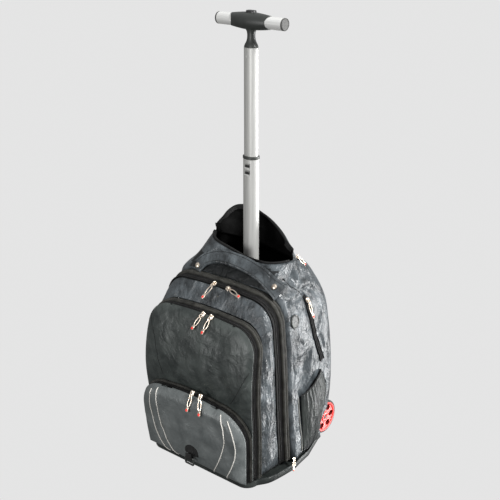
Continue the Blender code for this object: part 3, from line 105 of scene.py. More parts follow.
TAB_X = 0.016
TAB_Z = 0.046
TAB_HALF_WIDTH = 0.00825
TAB_HEIGHT = 0.016
SLOT_DROPS = (0.0155, 0.0310)
HUB_LIP = 0.0010
HOOD_START = 0.4
SPOKE_HOLES = 6
SPOKE_HOLE_PLACE = 0.0235
PAD_FOOT = 0.055
PAD_HEIGHT = 0.355
PAD_HALF_WIDTH = 0.116
PIPING_RADIUS = 0.0012
SIDES = ((1, "left"), (-1, "right"))

BODY = (
    # height, front_width, back_width, front, back, corner
    (0.00, 1.060, 0.920, 0.890, 0.045, 0.20),
    (0.10, 1.045, 0.955, 0.918, 0.020, 0.20),
    (0.28, 1.020, 0.998, 0.950, 0.000, 0.19),
    (0.50, 1.000, 0.985, 0.970, 0.005, 0.19),
    (0.64, 0.990, 0.952, 0.980, 0.018, 0.21),
    (0.76, 0.960, 0.900, 0.988, 0.034, 0.24),
    (0.84, 0.893, 0.815, 0.996, 0.070, 0.27),
    (0.89, 0.825, 0.745, 1.000, 0.105, 0.30),
    (0.945, 0.735, 0.655, 0.925, 0.180, 0.33),
    (1.00, 0.675, 0.590, 0.842, 0.255, 0.35),
)
BASE_FRONT_HALF_WIDTH = 0.160
BASE_FRONT_CORNER = 0.028
BASE_SIDE = (
    # width (share of HALF_WIDTH), depth (share of BODY_DEPTH)
    (1.055, 1.330),
    (1.105, 0.980),
    (1.085, 0.800),
    (1.060, 0.600),
)
SEAMS = (
    # height (share of MIDDLE_TOP), front zip (share of LAYER_DEPTH), side width
    (0.00, 1.750, 0.995),
    (0.13, 1.760, 1.005),
    (0.33, 1.770, 1.005),
    (0.52, 1.800, 1.000),
    (0.69, 1.730, 0.985),
    (0.80, 1.640, 0.965),
    (0.88, 1.580, 0.955),
    (1.00, 1.540, 0.950),
)
LEFT_TUCK = (
    # height (m), share of the left half width
    (0.000, 0.865),
    (0.020, 0.870),
    (0.060, 0.915),
    (0.100, 0.955),
    (0.150, 1.000),
    (0.430, 1.000),
)
FACES = (
    # distance in from the outline, front face, pocket face
    (0.000, 0.0000, 0.000),
    (0.004, 0.0040, 0.006),
    (0.012, 0.0080, 0.013),
    (0.030, 0.0105, 0.018),
    (0.060, 0.0125, 0.021),
    (0.150, 0.0140, 0.023),
)
BELLY = (
    # height (share of FRONT_TOP), share of the face's depth
    (0.00, 0.30),
    (0.38, 0.35),
    (0.52, 0.50),
    (0.65, 0.95),
    (0.80, 1.05),
    (1.00, 0.80),
)
POCKET_BACK = (
    # height, back edge (m behind the pole)
    (0.00, 0.050),
    (0.35, 0.056),
    (0.62, 0.068),
    (0.80, 0.062),
    (1.00, 0.042),
)
HOOD = (
    # along, x (share of the mouth's half width), y, rise (share of HOOD_RISE)
    (0.00, -1.000, 0.004, 0.18),
    (0.10, -0.970, 0.024, 0.42),
    (0.22, -0.940, 0.042, 0.68),
    (0.33, -0.830, 0.054, 0.88),
    (0.42, -0.680, 0.058, 0.96),
    (0.52, -0.480, 0.058, 0.98),
    (0.62, -0.220, 0.052, 0.93),
    (0.73, 0.100, 0.044, 0.77),
    (0.83, 0.440, 0.034, 0.47),
    (0.90, 0.690, 0.022, 0.23),
    (0.95, 0.880, 0.012, 0.09),
    (1.00, 1.000, 0.004, 0.04),
)
CARRY_HALF_SPAN = 0.123
CARRY_HEIGHT = 0.469
CARRY_SHIFT = 0.026
CARRY = (
    # out (share of the half span), y, drop, half width, half thickness
    (0.00, -0.0690, 0.000, 0.0170, 0.0052),
    (0.25, -0.0690, 0.002, 0.0170, 0.0052),
    (0.50, -0.0710, 0.008, 0.0165, 0.0048),
    (0.70, -0.0750, 0.016, 0.0165, 0.0038),
    (0.84, -0.0790, 0.026, 0.0175, 0.0022),
    (0.93, -0.0800, 0.033, 0.0200, 0.0016),
    (1.00, -0.0805, 0.039, 0.0225, 0.0015),
)
STRAPS = (
    # -z (share of MOUTH_HEIGHT), x (share of HALF_WIDTH), stand off, half width, half thickness
    (-0.800, 0.29, 0.0062, 0.026, 0.0050),
    (-0.700, 0.33, 0.0130, 0.029, 0.0055),
    (-0.560, 0.40, 0.0190, 0.029, 0.0055),
    (-0.420, 0.49, 0.0200, 0.025, 0.0048),
    (-0.300, 0.58, 0.0160, 0.015, 0.0016),
    (-0.210, 0.63, 0.0080, 0.012, 0.0012),
    (-0.155, 0.66, 0.0022, 0.012, 0.0012),
)

# Folds of the side cloth: y, z, reach along, width across, slope in degrees, depth
# (negative stands out)
SIDE_FOLDS = (
    (-0.002, 0.446, 0.032, 0.007, 81, -0.0030),
    (-0.027, 0.451, 0.030, 0.010, -51, 0.0050),
    (0.014, 0.421, 0.037, 0.007, -4, -0.0040),
    (0.023, 0.404, 0.040, 0.008, -7, 0.0045),
    (-0.045, 0.398, 0.040, 0.007, 0, 0.0050),
    (-0.036, 0.410, 0.032, 0.006, 0, -0.0035),
    (0.018, 0.396, 0.018, 0.005, -69, 0.0030),
    (-0.030, 0.372, 0.030, 0.008, -14, 0.0025),
    (-0.026, 0.277, 0.031, 0.007, 10, -0.0020),
    (0.000, 0.226, 0.048, 0.006, 71, -0.0032),
    (-0.014, 0.233, 0.041, 0.007, 64, 0.0034),
    (-0.030, 0.296, 0.028, 0.006, -37, 0.0022),
    (-0.030, 0.141, 0.055, 0.006, -80, 0.0020),
    (0.054, 0.271, 0.039, 0.007, -63, 0.0024),
    (0.081, 0.212, 0.047, 0.007, -72, -0.0024),
    (-0.034, 0.231, 0.032, 0.006, -39, -0.0020),
    (0.075, 0.360, 0.040, 0.008, 65, 0.0030),
    (0.055, 0.335, 0.040, 0.007, 72, -0.0026),
)
FRONT_DENTS = (
    # x, z, along, across, slope, depth
    (0.045, 0.330, 0.045, 0.014, -25, 0.0022),
    (-0.070, 0.300, 0.050, 0.018, 60, 0.0016),
    (0.085, 0.240, 0.060, 0.016, -55, 0.0022),
    (0.020, 0.130, 0.040, 0.020, -35, 0.0022),
    (0.110, 0.120, 0.040, 0.010, -50, 0.0022),
    (-0.030, 0.235, 0.060, 0.012, 12, 0.0010),
    (0.060, 0.280, 0.050, 0.010, 40, -0.0012),
    (-0.040, 0.080, 0.050, 0.014, 20, 0.0012),
    (-0.105, 0.110, 0.045, 0.009, 75, 0.0014),
)


def smooth(table, column, share):
    """A smooth run through one column of a table, held at its ends."""
    xs = [row[0] for row in table]
    ys = [row[column] for row in table]
    share = min(max(share, xs[0]), xs[-1])
    i = min(max(bisect.bisect_left(xs, share) - 1, 0), len(xs) - 2)

    def slope(k):
        if k == 0:
            return (ys[1] - ys[0]) / (xs[1] - xs[0])
        if k == len(xs) - 1:
            return (ys[-1] - ys[-2]) / (xs[-1] - xs[-2])
        before, after = xs[k] - xs[k - 1], xs[k + 1] - xs[k]
        low = (ys[k] - ys[k - 1]) / before
        high = (ys[k + 1] - ys[k]) / after
        return (low * after + high * before) / (before + after)

    h = xs[i + 1] - xs[i]
    t = (share - xs[i]) / h
    start = (2 * t**3 - 3 * t**2 + 1) * ys[i] + (t**3 - 2 * t**2 + t) * h * slope(i)
    end = (3 * t**2 - 2 * t**3) * ys[i + 1] + (t**3 - t**2) * h * slope(i + 1)
    return start + end


def smooth_row(table, share):
    """Every column of a table at a share."""
    return [smooth(table, column, share) for column in range(1, len(table[0]))]


def ease(low, high, value):
    t = min(max((value - low) / (high - low), 0.0), 1.0)
    return t * t * (3 - 2 * t)


def world(x, y, z):
    return Vector((x, y + POLE_Y, z))


def ridges(a, b, c, size, seed):
    """Creased noise, from about -1 in the creases to 1 on the ridges."""
    total = 0.0
    weight = 0.6
    for _ in range(3):
        q = Vector((a, b, c)) / size + Vector((seed * 5.3, seed * 2.7, seed * 1.1))
        total += weight * (1 - 3.2 * abs(noise.noise(q)))
        size *= 0.5
        weight *= 0.45
    return total


# Materials


def ramp(tree, stops, source):
    node = tree.nodes.new("ShaderNodeValToRGB")
    while len(node.color_ramp.elements) < len(stops):
        node.color_ramp.elements.new(0.5)
    for element, (place, colour) in zip(node.color_ramp.elements, stops):
        element.position = place
        element.color = (*colour, 1.0)
    tree.links.new(source, node.inputs[0])
    return node.outputs[0]


def new_material(name, roughness, metallic=0.0):
    made = bpy.data.materials.new(name)
    made.use_nodes = True
    tree = made.node_tree
    shader = tree.nodes["Principled BSDF"]
    shader.inputs["Roughness"].default_value = roughness
    shader.inputs["Metallic"].default_value = metallic
    return made, tree, shader


def noise_node(tree, scale, detail=3.0, distortion=0.0, stretch=(1, 1, 1)):
    place = tree.nodes.new("ShaderNodeTexCoord")
    mapping = tree.nodes.new("ShaderNodeMapping")
    mapping.inputs["Scale"].default_value = stretch
    tree.links.new(place.outputs["Object"], mapping.inputs["Vector"])
    node = tree.nodes.new("ShaderNodeTexNoise")
    node.inputs["Scale"].default_value = scale
    node.inputs["Detail"].default_value = detail
    node.inputs["Distortion"].default_value = distortion
    tree.links.new(mapping.outputs[0], node.inputs["Vector"])
    return node.outputs["Fac"]


def wave_node(tree, scale, direction, coordinates="Object", distortion=0.0):
    place = tree.nodes.new("ShaderNodeTexCoord")
    node = tree.nodes.new("ShaderNodeTexWave")
    node.bands_direction = direction
    node.inputs["Scale"].default_value = scale
    node.inputs["Distortion"].default_value = distortion
    tree.links.new(place.outputs[coordinates], node.inputs["Vector"])
    return node.outputs["Fac"]


def bumps(tree, shader, heights):
    """Stacks bump nodes: (height socket, distance in metres, strength)."""
    normal = None
    for height, distance, strength in heights:
        node = tree.nodes.new("ShaderNodeBump")
        node.inputs["Distance"].default_value = distance
        node.inputs["Strength"].default_value = strength
        tree.links.new(height, node.inputs["Height"])
        if normal:
            tree.links.new(normal, node.inputs["Normal"])
        normal = node.outputs[0]
    tree.links.new(normal, shader.inputs["Normal"])


def multiply(tree, a, b):
    node = tree.nodes.new("ShaderNodeMath")
    node.operation = "MULTIPLY"
    tree.links.new(a, node.inputs[0])
    tree.links.new(b, node.inputs[1])
    return node.outputs[0]


def cloth(name, dark, light, rough, crease, sheen, shine=0.5, run=(1, 1, 1), swirl=1.6):
    """Woven nylon: mottled, creased, with a fine weave and a soft sheen."""
    made, tree, shader = new_material(name, rough)
    patches = noise_node(tree, 26.0, 4.0, 0.6)
    middle = tuple(0.5 * (a + b) for a, b in zip(dark, light))
    mottled = ramp(tree, ((0.34, dark), (0.5, middle), (0.66, light)), patches)
    tree.links.new(mottled, shader.inputs["Base Color"])
    rough_low, rough_high = rough - 0.07, rough + 0.08
    grain = noise_node(tree, 180.0, 2.0)
    spread = ramp(tree, ((0.3, (rough_low,) * 3), (0.7, (rough_high,) * 3)), grain)
    tree.links.new(spread, shader.inputs["Roughness"])
    shader.inputs["Sheen Weight"].default_value = sheen
    shader.inputs["Specular IOR Level"].default_value = shine
    shader.inputs["Sheen Roughness"].default_value = 0.4
    warp = wave_node(tree, 420.0, "X")
    weft = wave_node(tree, 420.0, "Z")
    weave = multiply(tree, warp, weft)
    bumps(
        tree, shader,
        (
            (noise_node(tree, 30.0, 5.0, swirl, run), 0.0075, crease),
            (noise_node(tree, 105.0, 4.0, 0.5 * swirl, run), 0.0020, 0.8 * crease),
            (weave, 0.00012, 0.35),
        ),
    )
    return made


def tape(name, dark, light, rough, ribs):
    """Woven tape whose ribs run across its length, by the UV map (metres)."""
    made, tree, shader = new_material(name, rough)
    patches = noise_node(tree, 60.0, 3.0)
    tree.links.new(ramp(tree, ((0.3, dark), (0.7, light)), patches), shader.inputs["Base Color"])
    rib = wave_node(tree, ribs, "X", "UV")
    bumps(tree, shader, ((rib, 0.0004, 0.7), (noise_node(tree, 400.0, 2.0), 0.0002, 0.4)))
    shader.inputs["Specular IOR Level"].default_value = 0.16
    return made


def plastic(name, dark, light, rough, grain=0.25):
    made, tree, shader = new_material(name, rough)
    patches = noise_node(tree, 40.0, 3.0)
    tree.links.new(ramp(tree, ((0.3, dark), (0.7, light)), patches), shader.inputs["Base Color"])
    bumps(tree, shader, ((noise_node(tree, 900.0, 2.0), 0.0001, grain),))
    return made


def metal(name, dark, light, rough, stretch, metallic=1.0):
    """Metal with fine lines along its length."""
    made, tree, shader = new_material(name, rough, metallic)
    lines = noise_node(tree, 90.0, 3.0, 0.0, stretch)
    tree.links.new(ramp(tree, ((0.35, dark), (0.65, light)), lines), shader.inputs["Base Color"])
    wear = ramp(tree, ((0.3, (rough - 0.05,) * 3), (0.7, (rough + 0.06,) * 3)), lines)
    tree.links.new(wear, shader.inputs["Roughness"])
    bumps(tree, shader, ((lines, 0.0001, 0.25),))
    return made


SATIN = cloth(
    "satin_nylon", (0.014, 0.017, 0.019), (0.070, 0.081, 0.088),
    0.31, 0.90, 0.02, 0.5, (1.0, 1.0, 0.5), 1.2,
)
CHARCOAL = cloth(
    "charcoal_nylon", (0.018, 0.022, 0.021), (0.046, 0.053, 0.050),
    0.40, 0.80, 0.0, 0.38, (0.7, 0.7, 0.6), 0.8,
)
# Painted light: a lighter copy of the charcoal nylon for the lower pocket, standing in for the front light on
# its bulge; the front panel and pocket are one fabric.
LIT_POCKET_NYLON = cloth(
    "painted_light_pocket_nylon", (0.068, 0.076, 0.076), (0.112, 0.122, 0.121),
    0.40, 0.80, 0.0, 0.45, (0.7, 0.7, 0.6), 0.8,
)
GATHERED = cloth(
    "gathered_nylon", (0.008, 0.010, 0.010), (0.026, 0.030, 0.028),
    0.42, 0.40, 0.0, 0.30, (1.0, 1.0, 0.4), 0.5,
)
# Painted shade: a near-black copy of the satin, put on the body under the carry handle where the handle's
# shadow falls.
PAINTED_SHADE_SATIN = cloth("painted_shade_nylon", (0.006, 0.007, 0.007), (0.018, 0.020, 0.021), 0.45, 0.6, 0.0, 0.2)
LINING = cloth("black_lining", (0.002, 0.002, 0.002), (0.006, 0.006, 0.006), 0.80, 0.3, 0.0, 0.03)
ZIP = tape("zip_tape", (0.004, 0.004, 0.004), (0.009, 0.009, 0.009), 0.60, 260.0)
COIL = tape("zip_coil", (0.008, 0.008, 0.008), (0.022, 0.021, 0.020), 0.35, 420.0)
BINDING = tape("bound_edge", (0.016, 0.016, 0.014), (0.046, 0.045, 0.040), 0.42, 300.0)
WEBBING = tape("black_webbing", (0.010, 0.010, 0.010), (0.022, 0.022, 0.022), 0.70, 240.0)
PIPING = tape("reflective_piping", (0.50, 0.48, 0.44), (0.66, 0.64, 0.60), 0.45, 300.0)
DULL_PIPING = tape("dull_piping", (0.16, 0.16, 0.15), (0.26, 0.26, 0.24), 0.45, 300.0)
THREAD = tape("dark_thread", (0.010, 0.011, 0.011), (0.022, 0.023, 0.023), 0.70, 500.0)
ALUMINIUM = metal("brushed_aluminium", (0.38, 0.38, 0.365), (0.44, 0.44, 0.425), 0.45, (8.0, 8.0, 0.15), 0.4)
GRIP_METAL = metal("brushed_grip", (0.60, 0.60, 0.585), (0.68, 0.68, 0.665), 0.40, (0.15, 8.0, 8.0), 0.3)
PULL_METAL = metal("pale_gold", (0.64, 0.54, 0.44), (0.80, 0.70, 0.60), 0.30, (1.0, 1.0, 1.0))
BLACK = plastic("black_plastic", (0.020, 0.022, 0.020), (0.030, 0.033, 0.030), 0.42)
BUTTON = plastic("button_plastic", (0.010, 0.010, 0.010), (0.018, 0.018, 0.018), 0.38)
GREY_CAP = plastic("grey_cap", (0.045, 0.045, 0.043), (0.070, 0.070, 0.067), 0.60)
RED = plastic("red_plastic", (0.70, 0.022, 0.016), (0.80, 0.035, 0.026), 0.32, 0.1)
# Painted shade: a dark red for the walls of the wheels' spoke holes, standing in for the shade inside them.
HOLE_SHADE_RED = plastic("painted_shade_red_plastic", (0.10, 0.006, 0.005), (0.16, 0.010, 0.008), 0.5, 0.1)
RED_RIM = plastic("light_red_plastic", (0.74, 0.035, 0.028), (0.80, 0.06, 0.05), 0.48, 0.1)
TYRE = plastic("tyre_rubber", (0.020, 0.020, 0.020), (0.032, 0.032, 0.031), 0.75, 0.4)


# Making and placing pieces


def piece(made, body, slot, *nodes):
    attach(made, body)
    if nodes:
        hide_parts(*nodes)
    return made


def to_object(name, mesh, *materials):
    made = bpy.data.objects.new(name, mesh)
    bpy.context.scene.collection.objects.link(made)
    for material in materials:
        mesh.materials.append(material)
    return made


def applied(made):
    """The object with its modifiers applied, so its mesh is final."""
    bpy.context.view_layer.update()
    graph = bpy.context.evaluated_depsgraph_get()
    mesh = bpy.data.meshes.new_from_object(made.evaluated_get(graph))
    old = made.data
    made.modifiers.clear()
    made.data = mesh
    bpy.data.meshes.remove(old)
    return made


def loft(name, rings, closed=True, caps=False, angle=40):
    """Quads between rings, with a UV map in metres: along the rings' run, and round each."""
    mesh = bpy.data.meshes.new(name)
    bm = bmesh.new()
    uv = bm.loops.layers.uv.new("lengths")
    rows = [[bm.verts.new(point) for point in ring] for ring in rings]
    count = len(rows[0])
    along = 0.0
    for low, high in zip(rows, rows[1:]):
        step = sum((a.co - b.co).length for a, b in zip(low, high)) / count
        across = 0.0
        for i in range(count if closed else count - 1):
            j = (i + 1) % count
            width = (low[i].co - low[j].co).length
            face = bm.faces.new((low[i], low[j], high[j], high[i]))
            right, ahead = across + width, along + step
            corners = ((along, across), (along, right), (ahead, right), (ahead, across))
            for corner, at in zip(face.loops, corners):
                corner[uv].uv = at
            across += width
        along += step
    if caps:
        bm.faces.new(list(reversed(rows[0])))
        bm.faces.new(rows[-1])
        bmesh.ops.recalc_face_normals(bm, faces=bm.faces)
    bm.to_mesh(mesh)
    bm.free()
    mesh.shade_smooth()
    mesh.set_sharp_from_angle(angle=math.radians(angle))
    return mesh


def sew(made, thickness, inner=0, rim=0, side=-1.0):
    """Gives an open surface its cloth thickness; inner is the lining's material slot."""
    modifier = made.modifiers.new("cloth", "SOLIDIFY")
    modifier.thickness = thickness
    modifier.offset = side
    modifier.use_even_offset = False
    modifier.material_offset = inner
    modifier.material_offset_rim = rim
    return made


def solid(name, rings, finish, body, slot, *nodes, angle=40):
    """A closed loft that becomes a piece."""
    made = to_object(name, loft(name, rings, caps=True, angle=angle), finish)
    return piece(made, body, slot, *nodes)


def face_toward(made, direction):
    """Turns an open surface over when the middle of it looks the other way."""
    faces = made.data.polygons
    if faces[len(faces) // 2].normal.dot(Vector(direction)) < 0:
        made.data.flip_normals()


def boolean(made, steps):
    """Joins or cuts a piece with each tool in turn, and removes the tools."""
    for tool, operation in steps:
        modifier = made.modifiers.new(operation.lower(), "BOOLEAN")
        modifier.object = tool
        modifier.operation = operation
        modifier.solver = "EXACT"
    applied(made)
    for tool, _ in steps:
        bpy.data.objects.remove(tool)


def weld(mesh, outward=False):
    """Merges points that share a place; outward also sets the faces' directions."""
    bm = bmesh.new()
    bm.from_mesh(mesh)
    bmesh.ops.remove_doubles(bm, verts=bm.verts, dist=1e-6)
    if outward:
        bmesh.ops.recalc_face_normals(bm, faces=bm.faces)
    bm.to_mesh(mesh)
    bm.free()


def cord_mesh(name, points, radius, sides=8):
    """A round cord along points, with closed ends."""
    rings = []
    frame_up = Vector((0.31, 0.17, 0.93)).normalized()
    for i, point in enumerate(points):
        before, after = points[max(i - 1, 0)], points[min(i + 1, len(points) - 1)]
        along = (after - before).normalized()
        across = along.cross(frame_up).normalized()
        up = across.cross(along)
        ring = []
        for k in range(sides):
            angle = 2 * math.pi * k / sides
            ring.append(point + (across * math.cos(angle) + up * math.sin(angle)) * radius)
        rings.append(ring)
    return loft(name, rings, caps=True, angle=60)


def cord(name, points, radius, finish, slot, *nodes, sides=8):
    """A cord on the bag that becomes a piece."""
    return piece(to_object(name, cord_mesh(name, points, radius, sides), finish), "bag", slot, *nodes)


def oval(half_width, half_depth, count=48, power=2.5):
    points = []
    for k in range(count):
        angle = 2 * math.pi * k / count
        c, s = math.cos(angle), math.sin(angle)
        x = half_width * math.copysign(abs(c) ** (2 / power), c)
        points.append((x, half_depth * math.copysign(abs(s) ** (2 / power), s)))
    return points


def oval_stack(rows, half_width, half_depth, count, power, shift=0.0):
    """Ovals in XY, stacked by rows of (height, scale)."""
    rings = []
    for up, scale in rows:
        outline = oval(half_width * scale, half_depth * scale, count, power)
        rings.append([Vector((x, y + shift, up)) for x, y in outline])
    return rings


def turned_rings(profile, steps=72):
    """Circles about Z from a profile of (radius, height)."""
    rings = []
    for radius, along in profile:
        ring = []
        for k in range(steps):
            angle = 2 * math.pi * k / steps
            ring.append(Vector((radius * math.cos(angle), radius * math.sin(angle), along)))
        rings.append(ring)
    return rings


def square_to(points, i):
    """The direction square to a path of 2-D points at one of them."""
    before, after = points[max(i - 1, 0)], points[min(i + 1, len(points) - 1)]
    along = Vector((after[0] - before[0], after[1] - before[1])).normalized()
    return -along.y, along.x


# The body


def body_section(z):
    """Front and back half widths, the front's and back's place in depth, and the back's corner."""
    share = (z - BASE_TOP) / (MOUTH_HEIGHT - BASE_TOP)
    front_width, back_width, front, back, corner = smooth_row(BODY, share)
    front_y, back_y = BODY_BACK - front * BODY_DEPTH, BODY_BACK - back * BODY_DEPTH
    return front_width * HALF_WIDTH, back_width * HALF_WIDTH, front_y, back_y, corner * HALF_WIDTH


def front_corner(z):
    share = (z - BASE_TOP) / (MOUTH_HEIGHT - BASE_TOP)
    opening = max(0.0, (share - 0.86) / 0.14)
    return FRONT_CORNER + opening * (0.33 * HALF_WIDTH - FRONT_CORNER)


def fold_depth(folds, across, up):
    depth = 0.0
    for at, z, along, width, slope, deep in folds:
        angle = math.radians(slope)
        u = (across - at) * math.cos(angle) + (up - z) * math.sin(angle)
        v = (up - z) * math.cos(angle) - (across - at) * math.sin(angle)
        depth += deep * math.exp(-((u / along) ** 2) - (v / width) ** 2)
    return depth


def side_sink(y, z, side):
    """How far the side cloth lies in from its smooth wall, with its folds and creases."""
    edge = ease(LAYER_FLOOR, 0.05, z) * ease(MOUTH_HEIGHT + 0.01, MOUTH_HEIGHT - 0.03, z)
    mirrored = y if side > 0 else y + 0.013
    creases = ridges(mirrored * 1.3, z * 0.8, side * 0.4, 0.055, 3 + side)
    fine = ridges(mirrored * 1.2, z * 1.1, side * 0.7, 0.020, 21)
    return edge * (1.9 * fold_depth(SIDE_FOLDS, mirrored, z) - 0.0021 * creases - 0.0006 * fine)


def side_x(y, z):
    front_width, back_width, front, back, _ = body_section(z)
    return front_width + (back_width - front_width) * (y - front) / (back - front)


def neck_lean(z):
    """How far the neck leans to the bag's left at a height."""
    return MOUTH_LEAN * ease(0.415, MOUTH_HEIGHT, z)


def side_point(y, z, out, side=1, folded=True):
    """A point that stands out from the side wall."""
    sunk = side_sink(y, z, side) if folded else 0.0
    return world(side * (side_x(y, z) - sunk + out) + neck_lean(z), y, z)


def side_normal(y, z, side=1):
    step = 0.004
    a = side_point(y + step, z, 0.0, side, False) - side_point(y - step, z, 0.0, side, False)
    b = side_point(y, z + step, 0.0, side, False) - side_point(y, z - step, 0.0, side, False)
    normal = a.cross(b).normalized()
    return normal if normal.x * side > 0 else -normal


def body_ring(z, sides=34, fronts=14, corners=8, backs=12):
    front_width, back_width, front, back, back_radius = body_section(z)
    front_radius = front_corner(z)
    top = ease(0.425, 0.445, z) * ease(MOUTH_HEIGHT, MOUTH_HEIGHT - 0.012, z)

    def half(side):
        points = []
        for k in range(fronts):
            x = k / fronts * (front_width - front_radius)
            points.append((x, front + top * 0.0016 * ridges(side * x, z * 1.4, 0.2, 0.05, 2)))
        for k in range(corners + 1):
            angle = math.pi / 2 * k / corners
            x = front_width - front_radius + front_radius * math.sin(angle)
            points.append((x, front + front_radius - front_radius * math.cos(angle)))
        low, high = front + front_radius, back - back_radius
        for k in range(1, sides):
            y = low + (high - low) * k / sides
            sunk = side_sink(y, z, side) * ease(0, 3, k) * ease(sides, sides - 3, k)
            points.append((side_x(y, z) - sunk, y))
        corner_width = front_width + (back_width - front_width) * (high - front) / (back - front)
        for k in range(corners + 1):
            angle = math.pi / 2 * k / corners
            x = corner_width - back_radius + back_radius * math.cos(angle)
            points.append((x, high + back_radius * math.sin(angle)))
        for k in range(1, backs + 1):
            points.append(((corner_width - back_radius) * (1 - k / backs), back))
        return points

    left = [(-x, y) for x, y in reversed(half(-1)[1:-1])]
    return half(1) + left


def rim_height(x, y):
    front_width, _, front, back, _ = body_section(MOUTH_HEIGHT)
    side_y = front + HOOD_START * (back - front)
    right_side = min(max(-x / front_width, 0.0), 1.0)
    tilt = (0.145 if x > 0 else 0.03) * x - 0.006 * math.sin(math.pi * right_side)
    if y < side_y:
        return MOUTH_HEIGHT - FRONT_DIP + (RIM_LIFT + FRONT_DIP) * (x / front_width) ** 2 - tilt
    return MOUTH_HEIGHT + RIM_LIFT - tilt - RIM_DROP * (y - side_y) / (back - side_y)


def wheel_matrix(side, x):
    turn = Matrix.Rotation(side * math.pi / 2, 4, "Y")
    return Matrix.Translation(world(side * x, WHEEL_Y, WHEEL_RADIUS)) @ turn


def cut_wells(made):
    """Cuts the space of the wheels and their housings out of a piece."""
    inner = WHEEL_FACE_X - WHEEL_WIDTH - WELL_CLEARANCE - WELL_WALL - WELL_FIT
    radius = WHEEL_RADIUS + WELL_CLEARANCE + WELL_WALL + WELL_FIT
    tools = []
    for side, _ in SIDES:
        rings = turned_rings(((radius, 0.0), (radius, HALF_WIDTH)), 64)
        tool = to_object("well", loft("well", rings, caps=True))
        tool.matrix_world = wheel_matrix(side, inner)
        tools.append((tool, "DIFFERENCE"))
    boolean(made, tools)


def main_body():
    levels = 96
    rings = []
    for k in range(levels + 1):
        z = LAYER_FLOOR + (MOUTH_HEIGHT - LAYER_FLOOR) * (k / levels)
        raised = ease(levels - 8, levels, k)
        ring = []
        for x, y in body_ring(z):
            ring.append(world(x + neck_lean(z), y, z + raised * (rim_height(x, y) - MOUTH_HEIGHT)))
        rings.append(ring)
    made = to_object("body_cloth", loft("body_cloth", rings, angle=70), SATIN, LINING)
    sew(made, CLOTH, inner=1, rim=1)
    cut_wells(made)
    # Painted shade: forward-facing body faces under the carry handle get the near-black satin copy, standing
    # in for the handle's shadow.
    made.data.materials.append(PAINTED_SHADE_SATIN)
    for face in made.data.polygons:
        in_painted_handle_shadow = abs(face.center.x) < 0.115 and 0.425 < face.center.z < 0.464
        if face.material_index == 0 and face.normal.y < -0.3 and in_painted_handle_shadow:
            face.material_index = 2
    piece(made, "bag", "satin_cloth", "main_body")


def mouth_back(count=72):
    """Points of the mouth's edge that carry the hood, from one side round the back to the other."""
    _, _, front, back, _ = body_section(MOUTH_HEIGHT)
    side_y = front + HOOD_START * (back - front)
    ring = [p for p in body_ring(MOUTH_HEIGHT) if p[1] >= side_y]
    ring = list(reversed(ring))
    lengths = [0.0]
    for a, b in zip(ring, ring[1:]):
        lengths.append(lengths[-1] + math.dist(a, b))
    points = []
    for k in range(count + 1):
        want = lengths[-1] * k / count
        i = min(max(bisect.bisect_left(lengths, want), 1), len(ring) - 1)
        t = (want - lengths[i - 1]) / (lengths[i] - lengths[i - 1])
        a, b = ring[i - 1], ring[i]
        points.append((a[0] + (b[0] - a[0]) * t, a[1] + (b[1] - a[1]) * t, k / count))
    return points


def hood():
    rows = 26
    half_width = body_section(MOUTH_HEIGHT)[0]
    rings = []
    for r in range(rows + 1):
        t = r / rows
        row = []
        for x0, y0, u in mouth_back():
            z0 = rim_height(x0, y0) - 0.005
            x0, y0 = 0.985 * x0, 0.97 * y0
            x1, y1, rise = smooth_row(HOOD, u)
            x1 *= half_width
            z1 = MOUTH_HEIGHT + RIM_LIFT + rise * HOOD_RISE
            out = 0.004 * math.sin(math.pi * t) * math.sin(math.pi * u)
            lift = 1 - (1 - t) ** 1.3
            crease = 0.0016 * ridges(u * 0.3, t * 0.08, 0.5, 0.05, 5) * math.sin(math.pi * min(t + 0.02, 1.0))
            crease += 0.0016 * math.sin(14 * u + 5 * t) * math.sin(math.pi * t)
            x = x0 + (x1 - x0) * t + MOUTH_LEAN * (1 - 0.7 * t)
            row.append(world(x, y0 + (y1 - y0) * t**1.5 + out + crease, z0 + (z1 - z0) * lift))
        rings.append(row)
    made = to_object("hood_cloth", loft("hood_cloth", rings, closed=False, angle=70), SATIN, LINING)
    face_toward(made, (0, 1, 0))
    sew(made, CLOTH, inner=1, rim=1)
    applied(made)
    piece(made, "bag", "satin_cloth", "hood")
    return rings


# The layers on the front


def arch(half_width, top, corner_width, corner_height, crown):
    return {
        "half_width": half_width,
        "top": top,
        "corner_width": corner_width,
        "corner_height": corner_height,
        "crown": crown,
    }


MIDDLE_ARCH = arch(MIDDLE_HALF_WIDTH, MIDDLE_TOP, 0.062, 0.062, 0.004)
FRONT_ARCH = arch(FRONT_HALF_WIDTH, FRONT_TOP, 0.060, 0.056, 0.004)
POCKET_ARCH = arch(POCKET_HALF_WIDTH, POCKET_TOP, 0.076, 0.070, 0.006)


def side_share(z):
    return smooth(SEAMS, 2, z / MIDDLE_TOP)


def left_share(x, z):
    """The layers draw in toward the floor on their left."""
    return smooth(LEFT_TUCK, 1, z) if x < 0 else 1.0


def half_arch(shape, low, sides, corners):
    """One foot, side and corner of an arch, as (x, z). The corner ends at the crown."""
    start = shape["top"] - shape["crown"] - shape["corner_height"]
    inner = shape["half_width"] * side_share(start) - shape["corner_width"]
    right = []
    for k in range(sides):
        z = low + (start - low) * k / sides
        right.append((shape["half_width"] * side_share(z), z))
    for k in range(corners + 1):
        angle = math.pi / 2 * k / corners
        x = inner + shape["corner_width"] * math.cos(angle)
        right.append((x, start + shape["corner_height"] * math.sin(angle)))
    return right, inner


def arch_points(shape, low, sides=34, corners=18, tops=22):
    """The outline from one foot over the top to the other, as (x, z)."""
    right, inner = half_arch(shape, low, sides, corners)
    for k in range(1, tops // 2):
        share = 1 - 2 * k / tops
        right.append((inner * share, shape["top"] - shape["crown"] * share**2))
    left = [(-x * left_share(-x, z), z) for x, z in right]
    return left + [(0.0, shape["top"])] + list(reversed(right))


